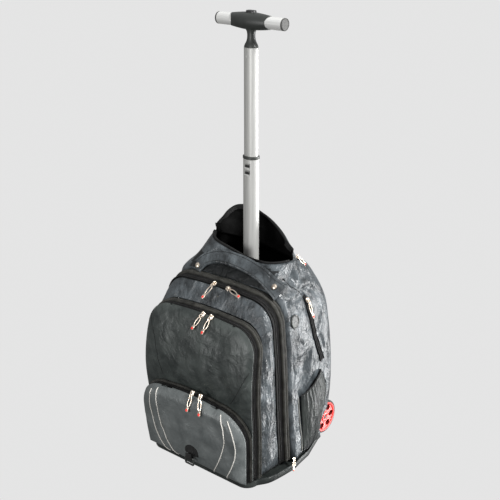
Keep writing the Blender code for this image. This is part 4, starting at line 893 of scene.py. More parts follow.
def edge_distance(shape, x, z):
    """How far in from the outline a point lies."""
    x = abs(x) / left_share(x, z)
    start = shape["top"] - shape["crown"] - shape["corner_height"]
    inner = shape["half_width"] * side_share(start) - shape["corner_width"]
    distance = min(shape["half_width"] * side_share(z) - x, z - LAYER_FLOOR)
    crown = shape["crown"] * min(x / inner, 1.0) ** 2
    distance = min(distance, shape["top"] - crown - z)
    if x > inner and z > start:
        across = (x - inner) / shape["corner_width"]
        up = (z - start) / shape["corner_height"]
        distance = min(distance, (1 - math.hypot(across, up)) * shape["corner_width"])
    return max(distance, 0.0)


def body_front(z):
    return body_section(min(z, MIDDLE_TOP))[2]


def middle_rim(z):
    return body_front(z) - SEAM_GAP - MIDDLE_BINDING - MIDDLE_ZIP - 2 * SEWN_FIT


def front_zip(z):
    return -smooth(SEAMS, 1, z / MIDDLE_TOP) * LAYER_DEPTH


def front_seam(z):
    return front_zip(z) + 0.5 * FRONT_ZIP + FRONT_BINDING + SEWN_FIT


def front_rim(z):
    return front_zip(z) - 0.5 * FRONT_ZIP - 0.0012


def creased(x, z, distance, seed, deep):
    """Soft creases of a front panel, none along its edge."""
    broad = ridges(x, z, seed, 0.07, seed)
    fine = 0.35 * ridges(z, x, seed, 0.022, seed + 3)
    return deep * ease(0.002, 0.02, distance) * (broad + fine)


def front_face(x, z, creases=True):
    distance = edge_distance(FRONT_ARCH, x, z)
    depth = smooth(FACES, 1, distance) * smooth(BELLY, 1, z / FRONT_TOP)
    sunk = fold_depth(FRONT_DENTS, x, z) * ease(0.010, 0.016, distance)
    sunk -= creased(x, z, distance, 4, 0.0013) if creases else 0.0
    if z < POCKET_TOP + 0.01:
        sunk = 0.0
    return front_rim(z) - RIM_DEPTH - depth + sunk


def pocket_seam(x, z):
    return front_face(x, z, False) - 0.0012


def pocket_rim(x, z):
    return pocket_seam(x, z) - POCKET_BINDING - POCKET_ZIP - 0.0015


def pocket_face(x, z, dented=True):
    distance = edge_distance(POCKET_ARCH, x, z)
    sunk = 0.0
    if dented:
        sunk = fold_depth(FRONT_DENTS, x, z) * ease(0.010, 0.016, distance)
        sunk -= creased(x, z, distance, 6, 0.0013)
    return pocket_rim(x, z) - RIM_DEPTH - smooth(FACES, 2, distance) + sunk


def bunched(count):
    """Shares from -1 to 1 that lie closer together near both ends."""
    shares = []
    for k in range(count + 1):
        s = -1 + 2 * k / count
        shares.append(math.copysign(1 - (1 - abs(s)) ** 1.7, s))
    return shares


def panel(name, shape, rim, face, finish, slot, node):
    """A sewn front panel: a grid over the arch whose edge turns back to its rim."""
    low = LAYER_FLOOR
    start = shape["top"] - shape["crown"] - shape["corner_height"]
    right, _ = half_arch(shape, low, 44, 26)
    shares = bunched(92)
    rows = []
    for x_edge, z_edge in right:
        t = ease(start, right[-1][1], z_edge)
        rise = shape["crown"] * t
        if z_edge < low + 0.03:
            z_edge = low + 0.03 * ((z_edge - low) / 0.03) ** 1.5
        row = []
        for u in shares:
            row.append((x_edge * u * left_share(u, z_edge), z_edge + rise * (1 - u * u)))
        rows.append(row)
    rings = []
    for row in rows:
        ends = (row[0], row[-1])
        ring = [world(ends[0][0], rim(*ends[0]), ends[0][1])]
        ring += [world(x, face(x, z), z) for x, z in row]
        ring.append(world(ends[1][0], rim(*ends[1]), ends[1][1]))
        rings.append(ring)
    for row, place in ((rows[0], 0), (rows[-1], len(rings) + 1)):
        points = [(row[0][0], row[0][1])] + row + [(row[-1][0], row[-1][1])]
        rings.insert(place, [world(x, rim(x, z), z) for x, z in points])
    made = to_object(name, loft(name, rings, closed=False, angle=60), finish, LINING)
    face_toward(made, (0, -1, 0))
    sew(made, CLOTH, inner=1)
    applied(made)
    piece(made, "bag", slot, node)


def middle_layer():
    """The middle compartment's gusset, from its zip's rim forward to the front compartment's seam."""
    low = LAYER_FLOOR
    back = arch(MIDDLE_HALF_WIDTH - 0.004, MIDDLE_TOP - 0.006, 0.060, 0.060, 0.004)
    front = arch(FRONT_HALF_WIDTH + 0.001, FRONT_TOP + 0.004, 0.061, 0.057, 0.004)
    steps = 26
    starts = arch_points(back, low, 60, 26, 40)
    ends = arch_points(front, low, 60, 26, 40)
    rings = []
    for k in range(steps + 1):
        share = k / steps
        bulge = 0.0035 * math.sin(math.pi * share)
        ring = []
        for i, ((x0, z0), (x1, z1)) in enumerate(zip(starts, ends)):
            x = x0 + (x1 - x0) * share
            z = z0 + (z1 - z0) * share
            y = middle_rim(z) + (front_seam(z) - middle_rim(z)) * share
            out = square_to(starts, i)
            up = ease(0.30, 0.38, z)
            crease = ridges(x * 0.9, y * 1.1, z * 0.55, 0.034, 8)
            wave = 0.0030 * (1 - 0.45 * up) * crease
            inner = math.sin(math.pi * min(max(share, 0.03), 0.97)) ** 0.5
            lift = (bulge + wave * inner) * ease(low, low + 0.02, z)
            ring.append(world(x + out[0] * lift, y, z + out[1] * lift))
        rings.append(ring)
    made = to_object("middle_cloth", loft("middle_cloth", rings, closed=False, angle=70), SATIN, LINING)
    side = made.data.polygons[len(rings[0]) * (steps // 2)]
    if side.normal.x * side.center.x < 0:
        made.data.flip_normals()
    sew(made, CLOTH, inner=1)
    applied(made)
    piece(made, "bag", "satin_cloth", "middle_compartment")


def band(name, shape, seam, section, finish, slot, inset, waver, *nodes):
    """Sweeps a section of (forward, out) points along an arch, foot to foot."""
    points = arch_points(shape, LAYER_FLOOR, 60, 30, 44)
    rings = []
    for i, (x, z) in enumerate(points):
        out = square_to(points, i)
        sway = waver * ridges(x, z, 0.3, 0.05, 9)
        ring = []
        for forward, proud in section:
            over = proud - inset + sway
            ring.append(world(x + out[0] * over, seam(x, z) - forward, z + out[1] * over))
        rings.append(ring)
    return solid(name, rings, finish, "bag", slot, *nodes, angle=50)


def roll_section(depth, proud):
    """A bound edge with two rolled ridges."""
    profile = (
        (0.00, -0.45), (0.00, 0.25), (0.07, 0.74), (0.18, 0.97), (0.30, 0.95),
        (0.41, 0.72), (0.48, 0.52), (0.54, 0.60), (0.64, 0.90), (0.76, 1.00),
        (0.88, 0.85), (0.96, 0.50), (1.00, 0.20), (1.00, -0.45),
    )
    return [(a * depth, b * proud) for a, b in profile]


def tape_section(depth, start, end, lift):
    """A flat zip tape between two shares of the zip's depth, with a raised outer hem."""
    width = end - start
    profile = ((0.0, -1.6), (0.0, 0.9), (0.10, 1.3), (0.26, 1.1), (0.34, 0.2), (0.95, 0.0), (1.0, -1.6))
    if lift < 0:
        profile = tuple((1 - a, b) for a, b in reversed(profile))
    return [((start + a * width) * depth, b * 0.001) for a, b in profile]


def coil_section(depth):
    profile = (
        (0.42, -0.8), (0.42, 0.4), (0.455, 1.3), (0.49, 0.9),
        (0.51, 0.9), (0.545, 1.3), (0.58, 0.4), (0.58, -0.8),
    )
    return [(a * depth, b * 0.001) for a, b in profile]


def zip_band(prefix, shape, seam, depth, inset, node):
    """A zip: two tapes and the coil between them."""
    for word, section in (
        ("back_tape", tape_section(depth, 0.0, 0.47, 1)),
        ("front_tape", tape_section(depth, 0.53, 1.0, -1)),
    ):
        band(prefix + "_" + word, shape, seam, section, ZIP, "black_tape", inset, 0.0)
    band(prefix + "_coil", shape, seam, coil_section(depth), COIL, "black_tape", inset, 0.0, node)


def bands():
    def body_seam(x, z):
        return body_front(z) - SEAM_GAP

    def middle_seam(x, z):
        return body_front(z) - SEAM_GAP - MIDDLE_BINDING - SEWN_FIT

    def front_start(x, z):
        return front_zip(z) + 0.5 * FRONT_ZIP

    def pocket_start(x, z):
        return pocket_seam(x, z) - POCKET_BINDING - SEWN_FIT

    band(
        "middle_roll", MIDDLE_ARCH, body_seam, roll_section(MIDDLE_BINDING, 0.0046), BINDING,
        "bound_edge", 0.0, 0.0006, "middle_binding",
    )
    zip_band("middle_zip", MIDDLE_ARCH, middle_seam, MIDDLE_ZIP, 0.0025, "middle_zip")
    band(
        "front_roll", FRONT_ARCH, lambda x, z: front_seam(z) - SEWN_FIT,
        roll_section(FRONT_BINDING - SEWN_FIT, 0.0046), BINDING, "bound_edge", 0.0, 0.0005, "front_binding",
    )
    zip_band("front_zip", FRONT_ARCH, front_start, FRONT_ZIP, 0.001, "front_zip")
    band(
        "pocket_roll", POCKET_ARCH, pocket_seam, roll_section(POCKET_BINDING, 0.0046), BINDING,
        "bound_edge", 0.0, 0.0004, "pocket_binding",
    )
    zip_band("pocket_zip", POCKET_ARCH, pocket_start, POCKET_ZIP, 0.001, "pocket_zip")


def mouth_zips(hood_rings):
    """Zip tape along the mouth's front edge and along the hood's free edge."""
    _, _, front, back, _ = body_section(MOUTH_HEIGHT)
    side_y = front + HOOD_START * (back - front)
    ring = body_ring(MOUTH_HEIGHT)
    points = [p for p in ring if p[1] < side_y - 0.002]
    points.sort(key=lambda p: math.atan2(p[0], 0.4 * back - p[1]))
    section = (
        (-0.0008, -0.0030), (-0.0014, 0.0000), (-0.0008, 0.0024), (0.0008, 0.0032),
        (0.0026, 0.0026), (0.0034, 0.0014), (0.0048, 0.0016), (0.0060, 0.0006),
        (0.0070, -0.0020), (0.0072, -0.0050), (0.0062, -0.0052), (0.0040, -0.0020),
    )
    rings = []
    for x, y in points:
        z = rim_height(x, y) + 0.0008
        inward = Vector((-x, 0.03 - y)).normalized()
        ring = []
        for into, up in section:
            ring.append(world(x + MOUTH_LEAN + inward.x * into, y + inward.y * into, z + up))
        rings.append(ring)
    solid("mouth_tape", rings, ZIP, "bag", "black_tape", "mouth_zip", angle=50)
    below, edge = hood_rings[-4], hood_rings[-1]
    section = (
        (-0.0020, -0.0050), (-0.0020, 0.0004), (-0.0008, 0.0014), (0.0010, 0.0016), (0.0024, 0.0008),
        (0.0034, -0.0040), (0.0042, -0.0090), (0.0032, -0.0092), (0.0012, -0.0050),
    )
    rings = []
    for i in range(1, len(edge) - 1):
        along = (edge[i + 1] - edge[i - 1]).normalized()
        rise = (edge[i] - below[i]).normalized()
        inward = along.cross(rise).normalized()
        if inward.dot(world(0.0, -0.01, edge[i].z) - edge[i]) < 0:
            inward = -inward
        rise = inward.cross(along).normalized()
        if rise.z < 0:
            rise = -rise
        rings.append([edge[i] + inward * into + rise * up for into, up in section])
    solid("hood_tape", rings, ZIP, "bag", "black_tape", "hood_zip", angle=50)


# Side details


def side_pocket(side, word):
    """A pocket gathered by its elastic top edge."""
    columns, rows = 70, 46
    low = BASE_TOP + 0.002
    rings = []
    for r in range(rows + 1):
        v = r / rows
        row = []
        for c in range(columns + 1):
            u = c / columns
            front = -0.022 - 0.012 * v
            back = smooth(POCKET_BACK, 1, v)
            y = front + (back - front) * u
            top = 0.170 + 0.036 * u
            z = low + (top - low) * v
            belly = math.sin(math.pi * u) ** 0.7 * math.sin(math.pi * min(0.5, 0.62 * v)) ** 0.7
            inner = math.sin(math.pi * u) ** 0.5
            gather = 0.0009 * math.sin(2 * math.pi * 9 * u + 2 * math.sin(5 * v)) * v**3 * inner
            crease = 0.0042 * ridges(y * 1.1, z * 0.28 + y * 0.4, side, 0.034, 11) * inner * (1 - 0.8 * v**4)
            out = 0.0020 + 0.013 * belly - 0.004 * belly * v**4 + gather + crease
            if v > 0.955:
                out += 0.0009
            row.append(side_point(y, z, out, side, False))
        rings.append(row)
    name = "side_pocket_cloth_" + word
    made = to_object(name, loft(name, rings, closed=False, angle=60), GATHERED, LINING)
    face_toward(made, (side, 0, 0))
    sew(made, 0.0012, inner=1)
    applied(made)
    piece(made, "bag", "charcoal_cloth", "side_pocket_" + word)
    hem = []
    for c in range(0, columns + 1, 2):
        hem.append(rings[-1][c] + Vector((side * 0.0006, 0, 0.0006)))
    cord("side_pocket_hem_" + word, hem, 0.0017, WEBBING, "black_tape")


def side_strip(name, path, section, finish, slot, side=1, nodes=()):
    """Sweeps (across, out) points along a path of (y, z) on the side wall."""
    rings = []
    for i, (y, z) in enumerate(path):
        across = square_to(path, i)
        ring = []
        for over, out in section:
            ring.append(side_point(y + across[0] * over, z + across[1] * over, out, side))
        rings.append(ring)
    return solid(name, rings, finish, "bag", slot, *nodes, angle=50)


def curve_through(points, count):
    """Evenly spread points along a smooth curve through 2-D points."""
    table = [(i / (len(points) - 1), *p) for i, p in enumerate(points)]
    return [tuple(smooth_row(table, k / count)) for k in range(count + 1)]


def side_zips():
    path = []
    for k in range(41):
        t = k / 40
        sway = 0.0016 * math.sin(9 * t) * t
        path.append((0.004 + 0.022 * t + 0.024 * t**2 + sway, 0.396 - 0.168 * t))
    for word, low, high in (("back", 0.0010, 0.0066), ("front", -0.0066, -0.0010)):
        outer = high if word == "back" else low
        inner = low if word == "back" else high
        step = outer - inner
        section = (
            (inner, -0.001), (inner, 0.0014), (inner + 0.6 * step, 0.0018),
            (inner + 0.72 * step, 0.0032), (inner + 0.9 * step, 0.0032), (outer, 0.0016), (outer, -0.001),
        )
        if word == "front":
            section = tuple(reversed(section))
        nodes = ("side_zip",) if word == "back" else ()
        side_strip("side_zip_" + word, path, section, ZIP, "black_tape", 1, nodes)
    coil = (
        (-0.0012, -0.001), (-0.0012, 0.0018), (-0.0004, 0.0026),
        (0.0004, 0.0026), (0.0012, 0.0018), (0.0012, -0.001),
    )
    side_strip("side_zip_coil", path, coil, COIL, "black_tape")


def side_seams():
    """Seams of the side panels, as sunk lines of thread with a folded edge."""
    seams = (
        ("shoulder", ((-0.052, 0.452), (-0.036, 0.432), (-0.012, 0.412), (0.004, 0.396)), 30),
        ("tab", ((-0.073, 0.425), (-0.060, 0.432), (-0.046, 0.440)), 14),
        ("rise", ((0.050, 0.228), (0.042, 0.218), (0.037, 0.206)), 12),
        ("back", ((0.040, 0.207), (0.054, 0.192), (0.068, 0.160)), 14),
    )
    section = ((-0.0011, -0.0014), (-0.0009, 0.0003), (0.0, 0.0009), (0.0009, 0.0003), (0.0011, -0.0014))
    for side, hand in SIDES:
        for word, points, count in seams:
            if side < 0 and word in ("tab", "rise"):
                continue
            name = "seam_%s_%s" % (word, hand)
            side_strip(name, curve_through(points, count), section, THREAD, "black_tape", side)


def facing(point, normal, down):
    """A place at a point, with Z along the normal and -Y hanging down."""
    z_axis = normal.normalized()
    y_axis = -(down - z_axis * down.dot(z_axis)).normalized()
    x_axis = y_axis.cross(z_axis)
    matrix = Matrix((x_axis, y_axis, z_axis)).transposed().to_4x4()
    matrix.translation = point
    return matrix


def placed(name, mesh, matrix, *materials):
    mesh.transform(matrix)
    return to_object(name, mesh, *materials)


def grommet():
    y, z = -0.049, 0.357
    profile = (
        (-0.0008, 1.00), (0.0010, 1.00), (0.0022, 0.95), (0.0027, 0.88), (0.0024, 0.80),
        (0.0014, 0.74), (0.0012, 0.70), (0.0016, 0.5), (0.0017, 0.2),
    )
    rings = oval_stack(profile, 0.0148, 0.0160, 40, 2.0)
    normal = side_normal(y, z)
    matrix = facing(side_point(y, z, 0.0) + normal * 0.0010, normal, Vector((0, 0, -1)))
    made = placed("grommet_ring", loft("grommet_ring", rings, caps=True), matrix, BLACK)
    piece(made, "bag", "black_plastic", "grommet")
    dots = bpy.data.meshes.new("grommet_slits")
    bm = bmesh.new()
    for sign in (-1, 1):
        for angle in (0.4, -0.4):
            turn = Matrix.Translation((sign * 0.0028, 0, 0.0018)) @ Matrix.Rotation(angle * sign, 4, "Z")
            bmesh.ops.create_cube(bm, size=1.0, matrix=turn @ Matrix.Diagonal((0.0034, 0.0010, 0.0008, 1.0)))
    bm.to_mesh(dots)
    bm.free()
    piece(placed("grommet_slits", dots, matrix, BUTTON), "bag", "black_plastic")


def pipings():
    table = (
        # the bag's left, then its right
        (
            ("outer", (0.116, 0.171), (0.140, 0.100), (0.107, 0.018)),
            ("inner", (0.097, 0.180), (0.110, 0.105), (0.069, 0.019)),
        ),
        (
            ("outer", (-0.109, 0.172), (-0.103, 0.100), (-0.062, 0.024)),
            ("inner", (-0.090, 0.181), (-0.078, 0.105), (-0.038, 0.022)),
        ),
    )
    for (side, hand), rows in zip(SIDES, table):
        for word, top, middle, foot in rows:
            points = []
            for k in range(41):
                t = k / 40
                weights = ((1 - t) ** 2, 2 * t * (1 - t), t**2)
                bend = [2 * m - 0.5 * (a + b) for m, a, b in zip(middle, top, foot)]
                x, z = (weights[0] * a + weights[1] * b + weights[2] * c for a, b, c in zip(top, bend, foot))
                points.append(world(x, pocket_face(x, z) - 0.0008, z))
            ending = "piping_%s_%s" % (word, hand)
            cord(ending, points, PIPING_RADIUS, PIPING, "reflective", "pocket_" + ending)
        points = []
        for t in range(21):
            points.append(side_point(-0.0425 + 0.0165 * t / 20, 0.166 - 0.142 * t / 20, 0.0010, side))
        name = "side_piping_cord_" + hand
        cord(name, points, PIPING_RADIUS, DULL_PIPING, "reflective", "side_piping_" + hand)


def front_seams():
    """Seams of the front panel, which run down from its edges to the pocket."""
    seams = (
        ("right", ((-0.148, 0.335), (-0.124, 0.293), (-0.116, 0.265), (-0.098, 0.202))),
        ("left", ((0.150, 0.285), (0.133, 0.248), (0.118, 0.220), (0.104, 0.198))),
    )
    for word, points in seams:
        path = [world(x, front_face(x, z) - 0.0001, z) for x, z in curve_through(points, 30)]
        cord("front_seam_" + word, path, 0.0007, THREAD, "black_tape", sides=6)


# Hardware


def carry_frame(share):
    y, drop, _, _ = smooth_row(CARRY, abs(share))
    lean = math.radians(48 - 8 * abs(share))
    x = share * CARRY_HALF_SPAN + (CARRY_SHIFT if share < 0 else CARRY_SHIFT - 0.004) * share**2
    y += 0.005 * share**4 if share > 0 else 0.0
    sag = (0.006 if share < 0 else -0.0005) * share**2
    centre = world(x, y, CARRY_HEIGHT - drop - sag)
    return centre, Vector((0, -math.cos(lean), math.sin(lean)))


def carry_axes(share):
    centre, normal = carry_frame(share)
    step = 0.01
    after, before = carry_frame(min(share + step, 1))[0], carry_frame(max(share - step, -1))[0]
    along = (after - before).normalized()
    across = along.cross(normal).normalized()
    return centre, along, across, across.cross(along).normalized()


def carry_handle():
    rings = []
    steps = 120
    for k in range(steps + 1):
        share = -1 + 2 * k / steps
        _, _, half_width, half_thick = smooth_row(CARRY, abs(share))
        centre, _, across, out = carry_axes(share)
        ring = []
        for x, y in oval(half_width, half_thick, 40, 3.0):
            hem = 0.0
            if half_thick > 0.0016:
                hem = 0.0011 * math.exp(-(((abs(x) - 0.80 * half_width) / 0.0012) ** 2))
            crease = 0.0006 * ridges(share * 0.2, x, y * 2, 0.03, 13)
            ring.append(centre + across * x + out * (y + math.copysign(crease - hem, y)))
        rings.append(ring)
    made = solid("carry_cloth", rings, SATIN, "bag", "satin_cloth", "carry_handle", angle=60)
    for word, place, radius, finish, slot in (
        ("upper_roll", -0.88, 0.0018, SATIN, "satin_cloth"),
        ("upper_stitch", -0.66, 0.0005, THREAD, "black_tape"),
        ("lower_stitch", 0.72, 0.0005, THREAD, "black_tape"),
    ):
        height = 0.98 if abs(place) < 0.8 else 0.55
        points = []
        for k in range(101):
            share = -0.98 + 1.96 * k / 100
            _, _, half_width, half_thick = smooth_row(CARRY, abs(share))
            centre, _, across, out = carry_axes(share)
            points.append(centre + across * (place * half_width) + out * half_thick * height)
        cord("carry_" + word, points, radius, finish, slot)
    for side, word in SIDES:
        share = side * 0.90
        centre, normal = carry_frame(share)
        half_thick = smooth(CARRY, 4, abs(share))
        profile = (
            (-0.0012, 0.0064), (0.0004, 0.0064), (0.0011, 0.0059), (0.0013, 0.0050),
            (0.0018, 0.0045), (0.0025, 0.0034), (0.0029, 0.0018), (0.0030, 0.0004),
        )
        rings = oval_stack(profile, 1.0, 1.0, 28, 2.0)
        matrix = facing(centre + normal * (half_thick + 0.0015), normal, Vector((0, 0, -1)))
        name = "rivet_dome_" + word
        made = placed(name, loft(name, rings, caps=True), matrix, PULL_METAL)
        piece(made, "bag", "pull_metal", "rivet_" + word)


def ring_band(outer_w, outer_h, wire, centre_y, up, count=36):
    """An oval ring of round wire, in XY."""
    rings = []
    for k in range(count + 1):
        angle = 2 * math.pi * k / count
        c, s = math.cos(angle), math.sin(angle)
        point = Vector((outer_w * c, centre_y + outer_h * s, up))
        out = Vector((c / outer_w, s / outer_h, 0)).normalized()
        ring = []
        for j in range(8):
            a = 2 * math.pi * j / 8
            ring.append(point + out * (wire * math.cos(a)) + Vector((0, 0, 0.75 * wire * math.sin(a))))
        rings.append(ring)
    return rings


def pull_mesh(name):
    """A zip slider with its bridge, an open oval pull and a round red tip."""
    bm = bmesh.new()

    def add(mesh, index):
        start = len(bm.faces)
        bm.from_mesh(mesh)
        bm.faces.ensure_lookup_table()
        for face in bm.faces[start:]:
            face.material_index = index
        bpy.data.meshes.remove(mesh)

    block = ((-0.0026, 0.90), (-0.0020, 1.0), (-0.0006, 1.0), (0.0002, 0.93), (0.0006, 0.80))
    add(loft("block", oval_stack(block, 0.0050, 0.0050, 28, 3.2, 0.0012), caps=True), 0)
    bridge = []
    for k in range(13):
        angle = math.pi * k / 12
        bridge.append(Vector((0.0, 0.0012 + 0.0042 * math.cos(angle), 0.0004 + 0.0026 * math.sin(angle))))
    add(cord_mesh("bridge", bridge, 0.0012), 0)
    add(loft("small_ring", ring_band(0.0027, 0.0042, 0.0008, -0.0040, 0.0020)), 0)
    add(loft("oval_ring", ring_band(0.0036, 0.0112, 0.0011, -0.0170, 0.0008)), 0)
    paddle = ((-0.0004, 0.85), (0.0, 1.0), (0.0016, 1.0), (0.0022, 0.82))
    add(loft("paddle", oval_stack(paddle, 0.0036, 0.0058, 24, 2.6, -0.0325), caps=True), 0)
    tip = ((0.0014, 1.0), (0.0026, 0.95), (0.0031, 0.7))
    add(loft("tip", oval_stack(tip, 0.0025, 0.0027, 20, 2.0, -0.0345), caps=True), 1)
    mesh = bpy.data.meshes.new(name)
    bm.to_mesh(mesh)
    bm.free()
    return mesh


def pulls():
    rows = (
        # name, x, arch, layer, way it faces, way it hangs
        ("pull_middle_left", -0.009, MIDDLE_ARCH, "middle", (0.0, -0.62, 0.78), (-0.12, -0.5, -0.80)),
        ("pull_middle_right", 0.033, MIDDLE_ARCH, "middle", (0.0, -0.62, 0.78), (1.10, -0.2, -0.25)),
        ("pull_front_left", 0.005, FRONT_ARCH, "front", (0.0, -0.90, 0.42), (-0.40, 0.0, -1.0)),
        ("pull_front_right", 0.029, FRONT_ARCH, "front", (0.0, -0.90, 0.42), (-0.25, 0.0, -1.0)),
        ("pull_pocket_left", 0.013, POCKET_ARCH, "pocket", (0.0, -0.91, 0.41), (-0.02, 0.0, -1.0)),
        ("pull_pocket_right", 0.037, POCKET_ARCH, "pocket", (0.0, -0.91, 0.41), (0.26, 0.0, -1.0)),
    )
    places = []
    for name, x, shape, layer, normal, down in rows:
        z = shape["top"]
        if layer == "middle":
            point = world(x, body_front(z) - MIDDLE_BINDING - MIDDLE_ZIP - 0.0027, z + 0.0002)
        elif layer == "front":
            point = world(x, front_rim(z) - 0.0070, z + 0.0003)
        else:
            point = world(x, pocket_rim(x, z) - 0.0062, z + 0.0090)
        places.append((name, point, Vector(normal), Vector(down)))
    normal = side_normal(0.0055, 0.386)
    point = side_point(0.0055, 0.386, 0.0, 1, False) + normal * 0.0060
    places.append(("pull_side", point, normal, Vector((0, 0.05, -1))))
    start = side_point(0.008, MOUTH_HEIGHT + 0.002, 0.0080, 1, False)
    down = side_point(0.036, MOUTH_HEIGHT - 0.028, 0.0080, 1, False) - start
    places.append(("pull_mouth", start, Vector((0, 1, 0)).cross(-down), down))
    for name, point, normal, down in places:
        size = 0.9 if name == "pull_mouth" else 1.12
        matrix = facing(point, normal, down) @ Matrix.Scale(size, 4)
        made = placed(name + "_metal", pull_mesh(name), matrix, PULL_METAL, RED)
        piece(made, "bag", "pull_metal", name)
    point = side_point(-0.066, 0.0245, 0.0030, 1, False)
    matrix = facing(point, Vector((0.75, -0.2, 0.55)), Vector((0.014, -0.020, -0.022)))
    matrix = matrix @ Matrix.Scale(0.72, 4)
    piece(placed("base_pull", pull_mesh("base_pull"), matrix, PULL_METAL, RED), "bag", "pull_metal")


def front_loop():
    """A webbing tab low on the front with a plastic loop in it, on a half-round patch."""
    z = TAB_Z
    rings = []
    for scale, up in ((1.0, 0.0002), (1.0, -0.0010), (0.93, -0.0016), (0.5, -0.0016), (0.02, -0.0016)):
        ring = []
        for px, pz in oval(0.0205 * scale, 0.0185 * scale, 40, 2.0):
            pz = max(pz, -0.006 * scale) + z + 0.010
            ring.append(world(TAB_X + px, pocket_face(TAB_X + px, pz) + up, pz))
        rings.append(ring)
    solid("loop_patch", rings, WEBBING, "bag", "black_tape", angle=50)
    y = pocket_face(TAB_X, z, False)
    wire, fit, webbing = 0.0042, 0.0004, 0.0018
    bar = 0.5 * wire + fit
    outer = bar + webbing
    centre_y = y - outer - 0.006
    top_y = pocket_face(TAB_X, z + TAB_HEIGHT)
    outline = [(top_y, z + TAB_HEIGHT), (centre_y + outer, z)]
    inner = [(top_y - webbing, z + TAB_HEIGHT), (centre_y + bar, z)]
    for k in range(1, 17):
        angle = -math.pi * k / 16
        outline.append((centre_y + outer * math.cos(angle), z + outer * math.sin(angle)))
        inner.append((centre_y + bar * math.cos(angle), z + bar * math.sin(angle)))
    outline.append((centre_y - outer, z + 0.012))
    inner.append((centre_y - bar, z + 0.012))
    rings = []
    left, right = -TAB_HALF_WIDTH, TAB_HALF_WIDTH
    for a, b in zip(outline, inner):
        corners = ((left, a), (right, a), (right, b), (left, b))
        rings.append([world(TAB_X + x, p[0], p[1]) for x, p in corners])
    solid("tab_webbing", rings, WEBBING, "bag", "black_tape", "front_tab")
    half_wire = 0.5 * wire
    half_width, drop = 0.014 - half_wire, 0.020 - wire
    path = []
    corner = 0.003
    high, low = z - corner, z + (corner - drop)
    for way, mid_z, start in ((1, high, 0), (-1, high, 90), (-1, low, 180), (1, low, 270)):
        mid_x = way * (half_width - corner)
        for k in range(7):
            angle = math.radians(start + 90 * k / 6)
            x = TAB_X + mid_x + corner * math.cos(angle)
            path.append(world(x, centre_y, mid_z + corner * math.sin(angle)))
    rings = []
    count = len(path)
    for i in range(count + 1):
        point = path[i % count]
        along = (path[(i + 1) % count] - path[(i - 1) % count]).normalized()
        out = along.cross(Vector((0, 1, 0))).normalized()
        ring = []
        for k in range(12):
            angle = 2 * math.pi * k / 12
            back = Vector((0, half_wire * math.sin(angle), 0))
            ring.append(point + out * (half_wire * math.cos(angle)) + back)
        rings.append(ring)
    made = to_object("loop_plastic", loft("loop_plastic", rings), BLACK)
    piece(made, "bag", "black_plastic", "front_loop")


# Trolley


def tube(name, half_width, half_depth, low, high, wall, finish, body, slot, node, marks=()):
    rings = []
    outline = oval(half_width, half_depth, 64, 2.4)
    inner = oval(half_width - wall, half_depth - wall, 64, 2.4)
    for z in (low, low + 0.0006, *marks, high - 0.0006):
        rings.append([world(x, y, z) for x, y in outline])
    for scale, z in ((0.5, high), (1.0, high), (1.0, low), (0.0, low)):
        ring = []
        for (x0, y0), (x1, y1) in zip(outline, inner):
            ring.append(world(x0 + (x1 - x0) * scale, y0 + (y1 - y0) * scale, z))
        rings.append(ring)
    made = to_object(name, loft(name, rings, angle=50), finish)
    weld(made.data, outward=True)
    return piece(made, body, slot, node)


def trolley():
    lower_width = UPPER_HALF_WIDTH + TUBE_STEP
    lower_depth = UPPER_HALF_DEPTH + TUBE_STEP
    tube(
        "guide_plastic", lower_width + 0.0024, lower_depth + 0.0024, 0.0193, 0.440, 0.002,
        BLACK, "bag", "black_plastic", "guide_tube",
    )
    lower = tube(
        "lower_metal", lower_width, lower_depth, LOWER_TOP - LOWER_LENGTH, LOWER_TOP, 0.0015,
        ALUMINIUM, "lower_stage", "aluminium", "lower_tube",
        (LOWER_TOP - 0.0380, LOWER_TOP - 0.0232, LOWER_TOP - 0.0085),
    )
    cut_slots(lower, lower_depth)
    tube(
        "upper_metal", UPPER_HALF_WIDTH, UPPER_HALF_DEPTH, UPPER_TOP - UPPER_LENGTH, UPPER_TOP, 0.0015,
        ALUMINIUM, "upper_stage", "aluminium", "upper_tube",
    )
    tube(
        "collar_plastic", lower_width + 0.0008, lower_depth + 0.0008, LOWER_TOP + 0.0003, LOWER_TOP + 0.0063,
        0.0022, BLACK, "lower_stage", "black_plastic", "collar",
    )


def cut_slots(lower, depth):
    """The two dark slots under the collar, with the stop behind them."""
    tools = []
    for drop in SLOT_DROPS:
        rings = []
        for y in (-0.006, 0.006):
            ring = []
            for x, z in oval(0.0070, 0.0031, 24, 3.5):
                ring.append(world(x, -depth + y, LOWER_TOP - drop + z))
            rings.append(ring)
        tools.append((to_object("slot", loft("slot", rings, caps=True)), "DIFFERENCE"))
    boolean(lower, tools)
    stops = bpy.data.meshes.new("slot_stops")
    bm = bmesh.new()
    for drop in SLOT_DROPS:
        place = Matrix.Translation(world(0.0, -depth + 0.0009, LOWER_TOP - drop))
        bmesh.ops.create_cube(bm, size=1.0, matrix=place @ Matrix.Diagonal((0.0134, 0.0010, 0.0056, 1.0)))
    bmesh.ops.bevel(bm, geom=bm.edges[:], offset=0.0002, segments=2, affect="EDGES")
    bm.to_mesh(stops)
    bm.free()
    piece(to_object("slot_stops", stops, BUTTON), "lower_stage", "black_plastic")


def saddle(angle):
    return HUB_HALF_LENGTH + HUB_SADDLE * math.sin(angle) ** 2


def handle_ring(x_of, radius, steps=64):
    ring = []
    for k in range(steps):
        angle = 2 * math.pi * k / steps
        ring.append(world(x_of(angle), radius * math.cos(angle), GRIP_HEIGHT + radius * math.sin(angle)))
    return ring


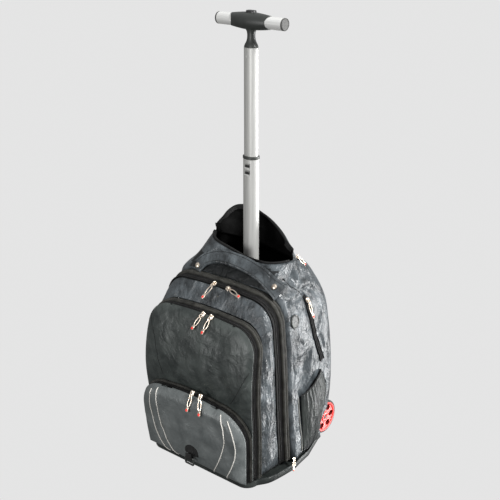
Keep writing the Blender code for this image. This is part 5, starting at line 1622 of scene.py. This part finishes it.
def handle():
    rings = []
    for k in range(33):
        share = -1 + 2 * k / 32
        radius = GRIP_RADIUS + HUB_LIP + HUB_SWELL * (1 - abs(share) ** 1.6)
        rings.append(handle_ring(lambda angle: share * saddle(angle), radius))
    hub = to_object("hub_plastic", loft("hub_plastic", rings, caps=True, angle=50), BLACK)
    neck_rows = (
        (0.0, 1.0, 1.0), (0.08, 0.92, 0.94), (0.22, 0.66, 0.74),
        (0.42, 0.53, 0.62), (0.60, 0.60, 0.66), (0.80, 1.05, 0.90),
    )
    rings = []
    low = UPPER_TOP + 0.0003
    for k in range(25):
        up = 0.8 * k / 24
        wide, deep = smooth_row(neck_rows, up)
        outline = oval(UPPER_HALF_WIDTH * wide, UPPER_HALF_DEPTH * deep, 48, 2.3)
        rings.append([world(x, y, low + up * (GRIP_HEIGHT - low)) for x, y in outline])
    neck = to_object("neck", loft("neck", rings, caps=True))
    top = GRIP_HEIGHT + GRIP_RADIUS + HUB_LIP + HUB_SWELL + 0.0035
    rings = oval_stack(((top - 0.009, 1.0), (top + 0.02, 1.0)), 0.0120, 0.0070, 40, 3.5, POLE_Y)
    seat = to_object("seat", loft("seat", rings, caps=True))
    boolean(hub, ((neck, "UNION"), (seat, "DIFFERENCE")))
    hub.data.shade_smooth()
    hub.data.set_sharp_from_angle(angle=math.radians(35))
    piece(hub, "upper_stage", "black_plastic", "handle_hub")
    rows = (
        (top - 0.0055, 1.0), (top - 0.0014, 1.0), (top - 0.0005, 0.95), (top - 0.0001, 0.86), (top, 0.6),
    )
    rings = oval_stack(rows, 0.0115, 0.0065, 40, 3.5, POLE_Y)
    solid("button_plastic", rings, BUTTON, "button", "black_plastic", "push_button")
    for side, word in SIDES:
        end = GRIP_END - 0.0043
        rings = []
        for k in range(9):
            share = k / 8
            rings.append(handle_ring(
                lambda a: side * (saddle(a) + 0.0003 + share * (end - 0.0003 - saddle(a))), GRIP_RADIUS,
            ))
        solid("grip_metal_" + word, rings, GRIP_METAL, "upper_stage", "aluminium", "grip_" + word, angle=50)
        rings = []
        profile = (
            (GRIP_END - 0.004, 1.0), (GRIP_END - 0.0012, 1.0), (GRIP_END - 0.0003, 0.965), (GRIP_END, 0.92),
            (GRIP_END - 0.0003, 0.88), (GRIP_END - 0.0011, 0.86), (GRIP_END - 0.0011, 0.3),
        )
        for along, scale in profile:
            rings.append(handle_ring(lambda a: side * along, GRIP_RADIUS * scale))
        solid("cap_" + word, rings, GREY_CAP, "upper_stage", "black_plastic", "end_cap_" + word, angle=50)
    profile = (
        (-0.0004, 0.0040), (0.00005, 0.0040), (0.0001, 0.0034), (-0.0002, 0.0028), (-0.0008, 0.0012),
    )
    screw = oval_stack(profile, 1.0, 1.0, 32, 2.0)
    place = facing(world(0.0, -UPPER_HALF_DEPTH, UPPER_TOP - 0.018), Vector((0, -1, 0)), Vector((0, 0, -1)))
    made = placed("pole_rivet", loft("pole_rivet", screw, caps=True), place, ALUMINIUM)
    piece(made, "upper_stage", "aluminium")
    dot = oval_stack(((-0.0009, 0.0014), (-0.0001, 0.0014)), 1.0, 1.0, 20, 2.0)
    made = placed("rivet_core", loft("rivet_core", dot, caps=True), place, BUTTON)
    piece(made, "upper_stage", "black_plastic")


# Wheels


def wheels():
    rim = WHEEL_RADIUS - 0.005
    half = 0.5 * WHEEL_WIDTH
    for side, word in SIDES:
        place = wheel_matrix(side, WHEEL_FACE_X - half)
        profile = (
            (0.0040, half - 0.0030), (0.0060, half - 0.0012), (0.0095, half - 0.0006),
            (0.0115, half - 0.0012), (0.0128, half - 0.003),
            (rim - 0.0062, half - 0.003), (rim - 0.0050, half - 0.0022),
            (rim - 0.0038, half - 0.0009), (rim - 0.0012, half - 0.0006), (rim, half - 0.0012),
            (rim, -half + 0.001), (0.0105, -half + 0.001), (0.0040, -half + 0.001),
        )
        name = "wheel_plastic_" + word
        hub = to_object(name, loft(name, turned_rings(profile), caps=True), RED, RED_RIM, HOLE_SHADE_RED)
        for face in hub.data.polygons:
            radius = math.hypot(face.center.x, face.center.y)
            if radius > rim - 0.0050 and face.center.z > 0:
                face.material_index = 1
        tool_mesh = bpy.data.meshes.new("holes")
        bm = bmesh.new()
        for k in range(SPOKE_HOLES):
            angle = 2 * math.pi * (k + 0.5) / SPOKE_HOLES
            c, s = math.cos(angle), math.sin(angle)
            outline = []
            for x, y in oval(0.0079, 0.0072, 32, 2.0):
                x += SPOKE_HOLE_PLACE
                outline.append((x * c - y * s, x * s + y * c))
            low = [bm.verts.new((x, y, -WHEEL_WIDTH)) for x, y in outline]
            high = [bm.verts.new((x, y, WHEEL_WIDTH)) for x, y in outline]
            for i in range(32):
                j = (i + 1) % 32
                bm.faces.new((low[i], low[j], high[j], high[i]))
            bm.faces.new(list(reversed(low)))
            bm.faces.new(high)
        bm.to_mesh(tool_mesh)
        bm.free()
        boolean(hub, ((to_object("holes", tool_mesh), "DIFFERENCE"),))
        # Painted shade: the walls of the spoke holes get the dark red, standing in for the shade inside the
        # holes.
        for face in hub.data.polygons:
            radius = math.hypot(face.center.x, face.center.y)
            if abs(face.normal.z) < 0.3 and 0.013 < radius < rim - 0.004:
                face.material_index = 2
        hub.data.transform(place)
        hub.data.shade_smooth()
        hub.data.set_sharp_from_angle(angle=math.radians(30))
        body = "wheel_" + word
        piece(hub, body, "wheel_red", "wheel_hub_" + word)
        profile = (
            (rim + 0.0003, half - 0.0012), (WHEEL_RADIUS - 0.0030, half - 0.0012),
            (WHEEL_RADIUS - 0.0012, half - 0.0024), (WHEEL_RADIUS - 0.0003, 0.62 * half),
            (WHEEL_RADIUS, 0.35 * half), (WHEEL_RADIUS, -0.35 * half),
            (WHEEL_RADIUS - 0.0003, -0.62 * half), (WHEEL_RADIUS - 0.0012, -half + 0.0024),
            (WHEEL_RADIUS - 0.0030, -half + 0.0012), (rim + 0.0003, -half + 0.0012),
            (rim + 0.0003, half - 0.0012),
        )
        mesh = loft("tyre_rubber_" + word, turned_rings(profile, 96))
        weld(mesh)
        piece(placed("tyre_rubber_" + word, mesh, place, TYRE), body, "tyre_black", "tyre_" + word)
    for node in ("wheel_housing_left", "wheel_housing_right"):
        dress(node, BLACK)


def dress(node, finish):
    """Gives a CAD node that stays its finer material."""
    for slot in bpy.data.objects[node].material_slots:
        slot.material = finish


# Base and back


def base():
    outline = []
    _, back_width, _, back, radius = body_section(BASE_TOP)
    nose = pocket_face(0.0, BASE_TOP, False) + 0.002
    flat = BASE_FRONT_HALF_WIDTH - BASE_FRONT_CORNER
    for k in range(21):
        outline.append((k / 20 * flat, nose))
    for k in range(1, 13):
        angle = math.pi / 2 * k / 12
        forward = BASE_FRONT_CORNER * (1 - math.cos(angle))
        outline.append((flat + BASE_FRONT_CORNER * math.sin(angle), nose + forward))
    sides = [(0.0, BASE_FRONT_HALF_WIDTH, nose + BASE_FRONT_CORNER)]
    for k, (width, depth) in enumerate(BASE_SIDE):
        sides.append(((k + 1) / len(BASE_SIDE), width * HALF_WIDTH, BODY_BACK - depth * BODY_DEPTH))
    for k in range(1, 31):
        outline.append(tuple(smooth_row(sides, k / 30)))
    for k in range(17):
        angle = math.pi / 2 * k / 16
        x = back_width - radius + radius * math.cos(angle)
        outline.append((x, back - radius + radius * math.sin(angle)))
    for k in range(1, 9):
        outline.append(((back_width - radius) * (1 - k / 8), back))
    full = outline + [(-x * (1 - 0.13 * ease(-0.09, -0.18, y)), y) for x, y in reversed(outline[1:-1])]
    profile = (
        (0.0, 0.6), (0.0, 0.985), (0.0012, 0.992), (0.0045, 0.999), (0.010, 1.0),
        (0.0150, 1.0), (BASE_TOP, 0.998), (BASE_TOP, 0.985), (0.003, 0.98),
    )
    rings = []
    for z, scale in profile:
        ring = []
        for x, y in full:
            crease = 0.0009 * ridges(x, y, z, 0.04, 15) * (1.0 if 0.002 < z < 0.016 else 0.0)
            ring.append(world(x * scale + math.copysign(crease, x) * (abs(x) > 0.05), y * scale, z))
        rings.append(ring)
    mesh = loft("base_cloth", rings, angle=60)
    bm = bmesh.new()
    bm.from_mesh(mesh)
    bm.verts.ensure_lookup_table()
    count = len(full)
    bm.faces.new([bm.verts[i] for i in range(count)][::-1])
    bm.faces.new([bm.verts[len(bm.verts) - count + i] for i in range(count)])
    bmesh.ops.recalc_face_normals(bm, faces=bm.faces)
    bm.to_mesh(mesh)
    bm.free()
    made = to_object("base_cloth", mesh, GATHERED)
    cut_wells(made)
    piece(made, "bag", "charcoal_cloth", "base_tray")


def back():
    rows, columns = 60, 50
    rings = []
    for r in range(rows + 1):
        v = r / rows
        z = PAD_FOOT + PAD_HEIGHT * v
        row = []
        for c in range(columns + 1):
            u = -1 + 2 * c / columns
            half = PAD_HALF_WIDTH * (1 - 0.22 * v**2)
            edge = (1 - abs(u) ** 5) * (1 - abs(2 * v - 1) ** 7)
            channel = 0.0024 * math.exp(-(((abs(u) - 0.36) / 0.05) ** 2))
            channel += 0.0016 * math.exp(-((((v * 5) % 1 - 0.5) / 0.08) ** 2)) * (abs(u) > 0.42)
            out = 0.0037 + 0.006 * edge - channel * edge
            row.append(world(half * u, body_section(z)[3] + out, z))
        rings.append(row)
    made = to_object("back_pad_cloth", loft("back_pad_cloth", rings, closed=False, angle=60), CHARCOAL)
    face_toward(made, (0, 1, 0))
    sew(made, 0.0030)
    applied(made)
    piece(made, "bag", "charcoal_cloth", "back_pad")
    for side, word in SIDES:
        rings = []
        for k in range(91):
            share = 0.800 + (0.155 - 0.800) * k / 90
            x, out, half_width, half_thick = smooth_row(STRAPS, -share)
            z = share * MOUTH_HEIGHT
            y = body_section(z)[3] + 0.0104 + out
            ring = []
            for across, deep in oval(half_width, half_thick, 36, 3.0):
                hem = 0.0
                if half_thick > 0.003:
                    hem = 0.0010 * math.exp(-(((abs(across) - 0.82 * half_width) / 0.0014) ** 2))
                ring.append(world(side * x * HALF_WIDTH + across, y + deep - math.copysign(hem, deep), z))
            rings.append(ring)
        made = solid(
            "strap_cloth_" + word, rings, CHARCOAL,
            "bag", "charcoal_cloth", "shoulder_strap_" + word, angle=60,
        )


# Scene


def area_light(name, place, target, size, power, colour=(1, 1, 1)):
    data = bpy.data.lights.new(name, "AREA")
    data.shape = "RECTANGLE"
    data.size, data.size_y = size
    data.energy = power
    data.color = colour
    made = bpy.data.objects.new(name, data)
    bpy.context.scene.collection.objects.link(made)
    made.location = place
    made.rotation_euler = (Vector(target) - Vector(place)).to_track_quat("-Z", "Y").to_euler()


def surroundings():
    world_data = bpy.data.worlds.new("studio")
    world_data.use_nodes = True
    tree = world_data.node_tree
    seen = tree.nodes["Background"]
    seen.inputs["Color"].default_value = (1, 1, 1, 1)
    seen.inputs["Strength"].default_value = 0.78
    soft = tree.nodes.new("ShaderNodeBackground")
    place = tree.nodes.new("ShaderNodeTexCoord")
    lean = tree.nodes.new("ShaderNodeVectorMath")
    lean.operation = "DOT_PRODUCT"
    lean.inputs[1].default_value = (0.45, 0.15, 0.88)
    tree.links.new(place.outputs["Generated"], lean.inputs[0])
    half = tree.nodes.new("ShaderNodeMapRange")
    half.inputs["From Min"].default_value = -1.0
    tree.links.new(lean.outputs["Value"], half.inputs["Value"])
    greys = (
        (0.0, (0.12, 0.12, 0.12)), (0.42, (0.34, 0.34, 0.34)),
        (0.62, (0.58, 0.59, 0.60)), (1.0, (0.80, 0.80, 0.80)),
    )
    sky = ramp(tree, greys, half.outputs[0])
    tree.links.new(sky, soft.inputs["Color"])
    soft.inputs["Strength"].default_value = 1.0
    path = tree.nodes.new("ShaderNodeLightPath")
    choose = tree.nodes.new("ShaderNodeMixShader")
    tree.links.new(path.outputs["Is Camera Ray"], choose.inputs[0])
    tree.links.new(soft.outputs[0], choose.inputs[1])
    tree.links.new(seen.outputs[0], choose.inputs[2])
    tree.links.new(choose.outputs[0], tree.nodes["World Output"].inputs["Surface"])
    bpy.context.scene.world = world_data
    area_light("key", (2.2, 0.1, 2.2), (0, 0, 0.3), (0.6, 0.6), 150)
    area_light("side", (1.7, 2.0, -0.1), (0, 0, 0.6), (0.5, 2.4), 80)
    area_light("front", (-0.4, -2.6, 0.7), (0, 0, 0.3), (0.8, 1.2), 34)
    bpy.context.scene.view_settings.view_transform = "Standard"


def camera():
    pitch, azimuth = math.radians(21.1), math.radians(39.5)
    data = bpy.data.cameras.new("camera")
    data.sensor_width = 36.0
    data.lens = 68.4
    made = bpy.data.objects.new("camera", data)
    bpy.context.scene.collection.objects.link(made)
    made.location = (1.276, -1.552 + POLE_Y, 1.245)
    made.rotation_euler = (math.pi / 2 - pitch, 0.0, azimuth)
    bpy.context.scene.camera = made


main_body()
hood_rings = hood()
middle_layer()
panel(
    "front_panel", FRONT_ARCH, lambda x, z: front_rim(z), front_face,
    CHARCOAL, "charcoal_cloth", "front_compartment",
)
# Painted light: the lower pocket gets the lighter copy of the charcoal nylon.
panel("pocket_panel", POCKET_ARCH, pocket_rim, pocket_face, LIT_POCKET_NYLON, "charcoal_cloth", "lower_pocket")
bands()
mouth_zips(hood_rings)
for side, word in SIDES:
    side_pocket(side, word)
side_zips()
side_seams()
grommet()
pipings()
front_seams()
carry_handle()
pulls()
front_loop()
trolley()
handle()
wheels()
base()
back()
surroundings()
camera()
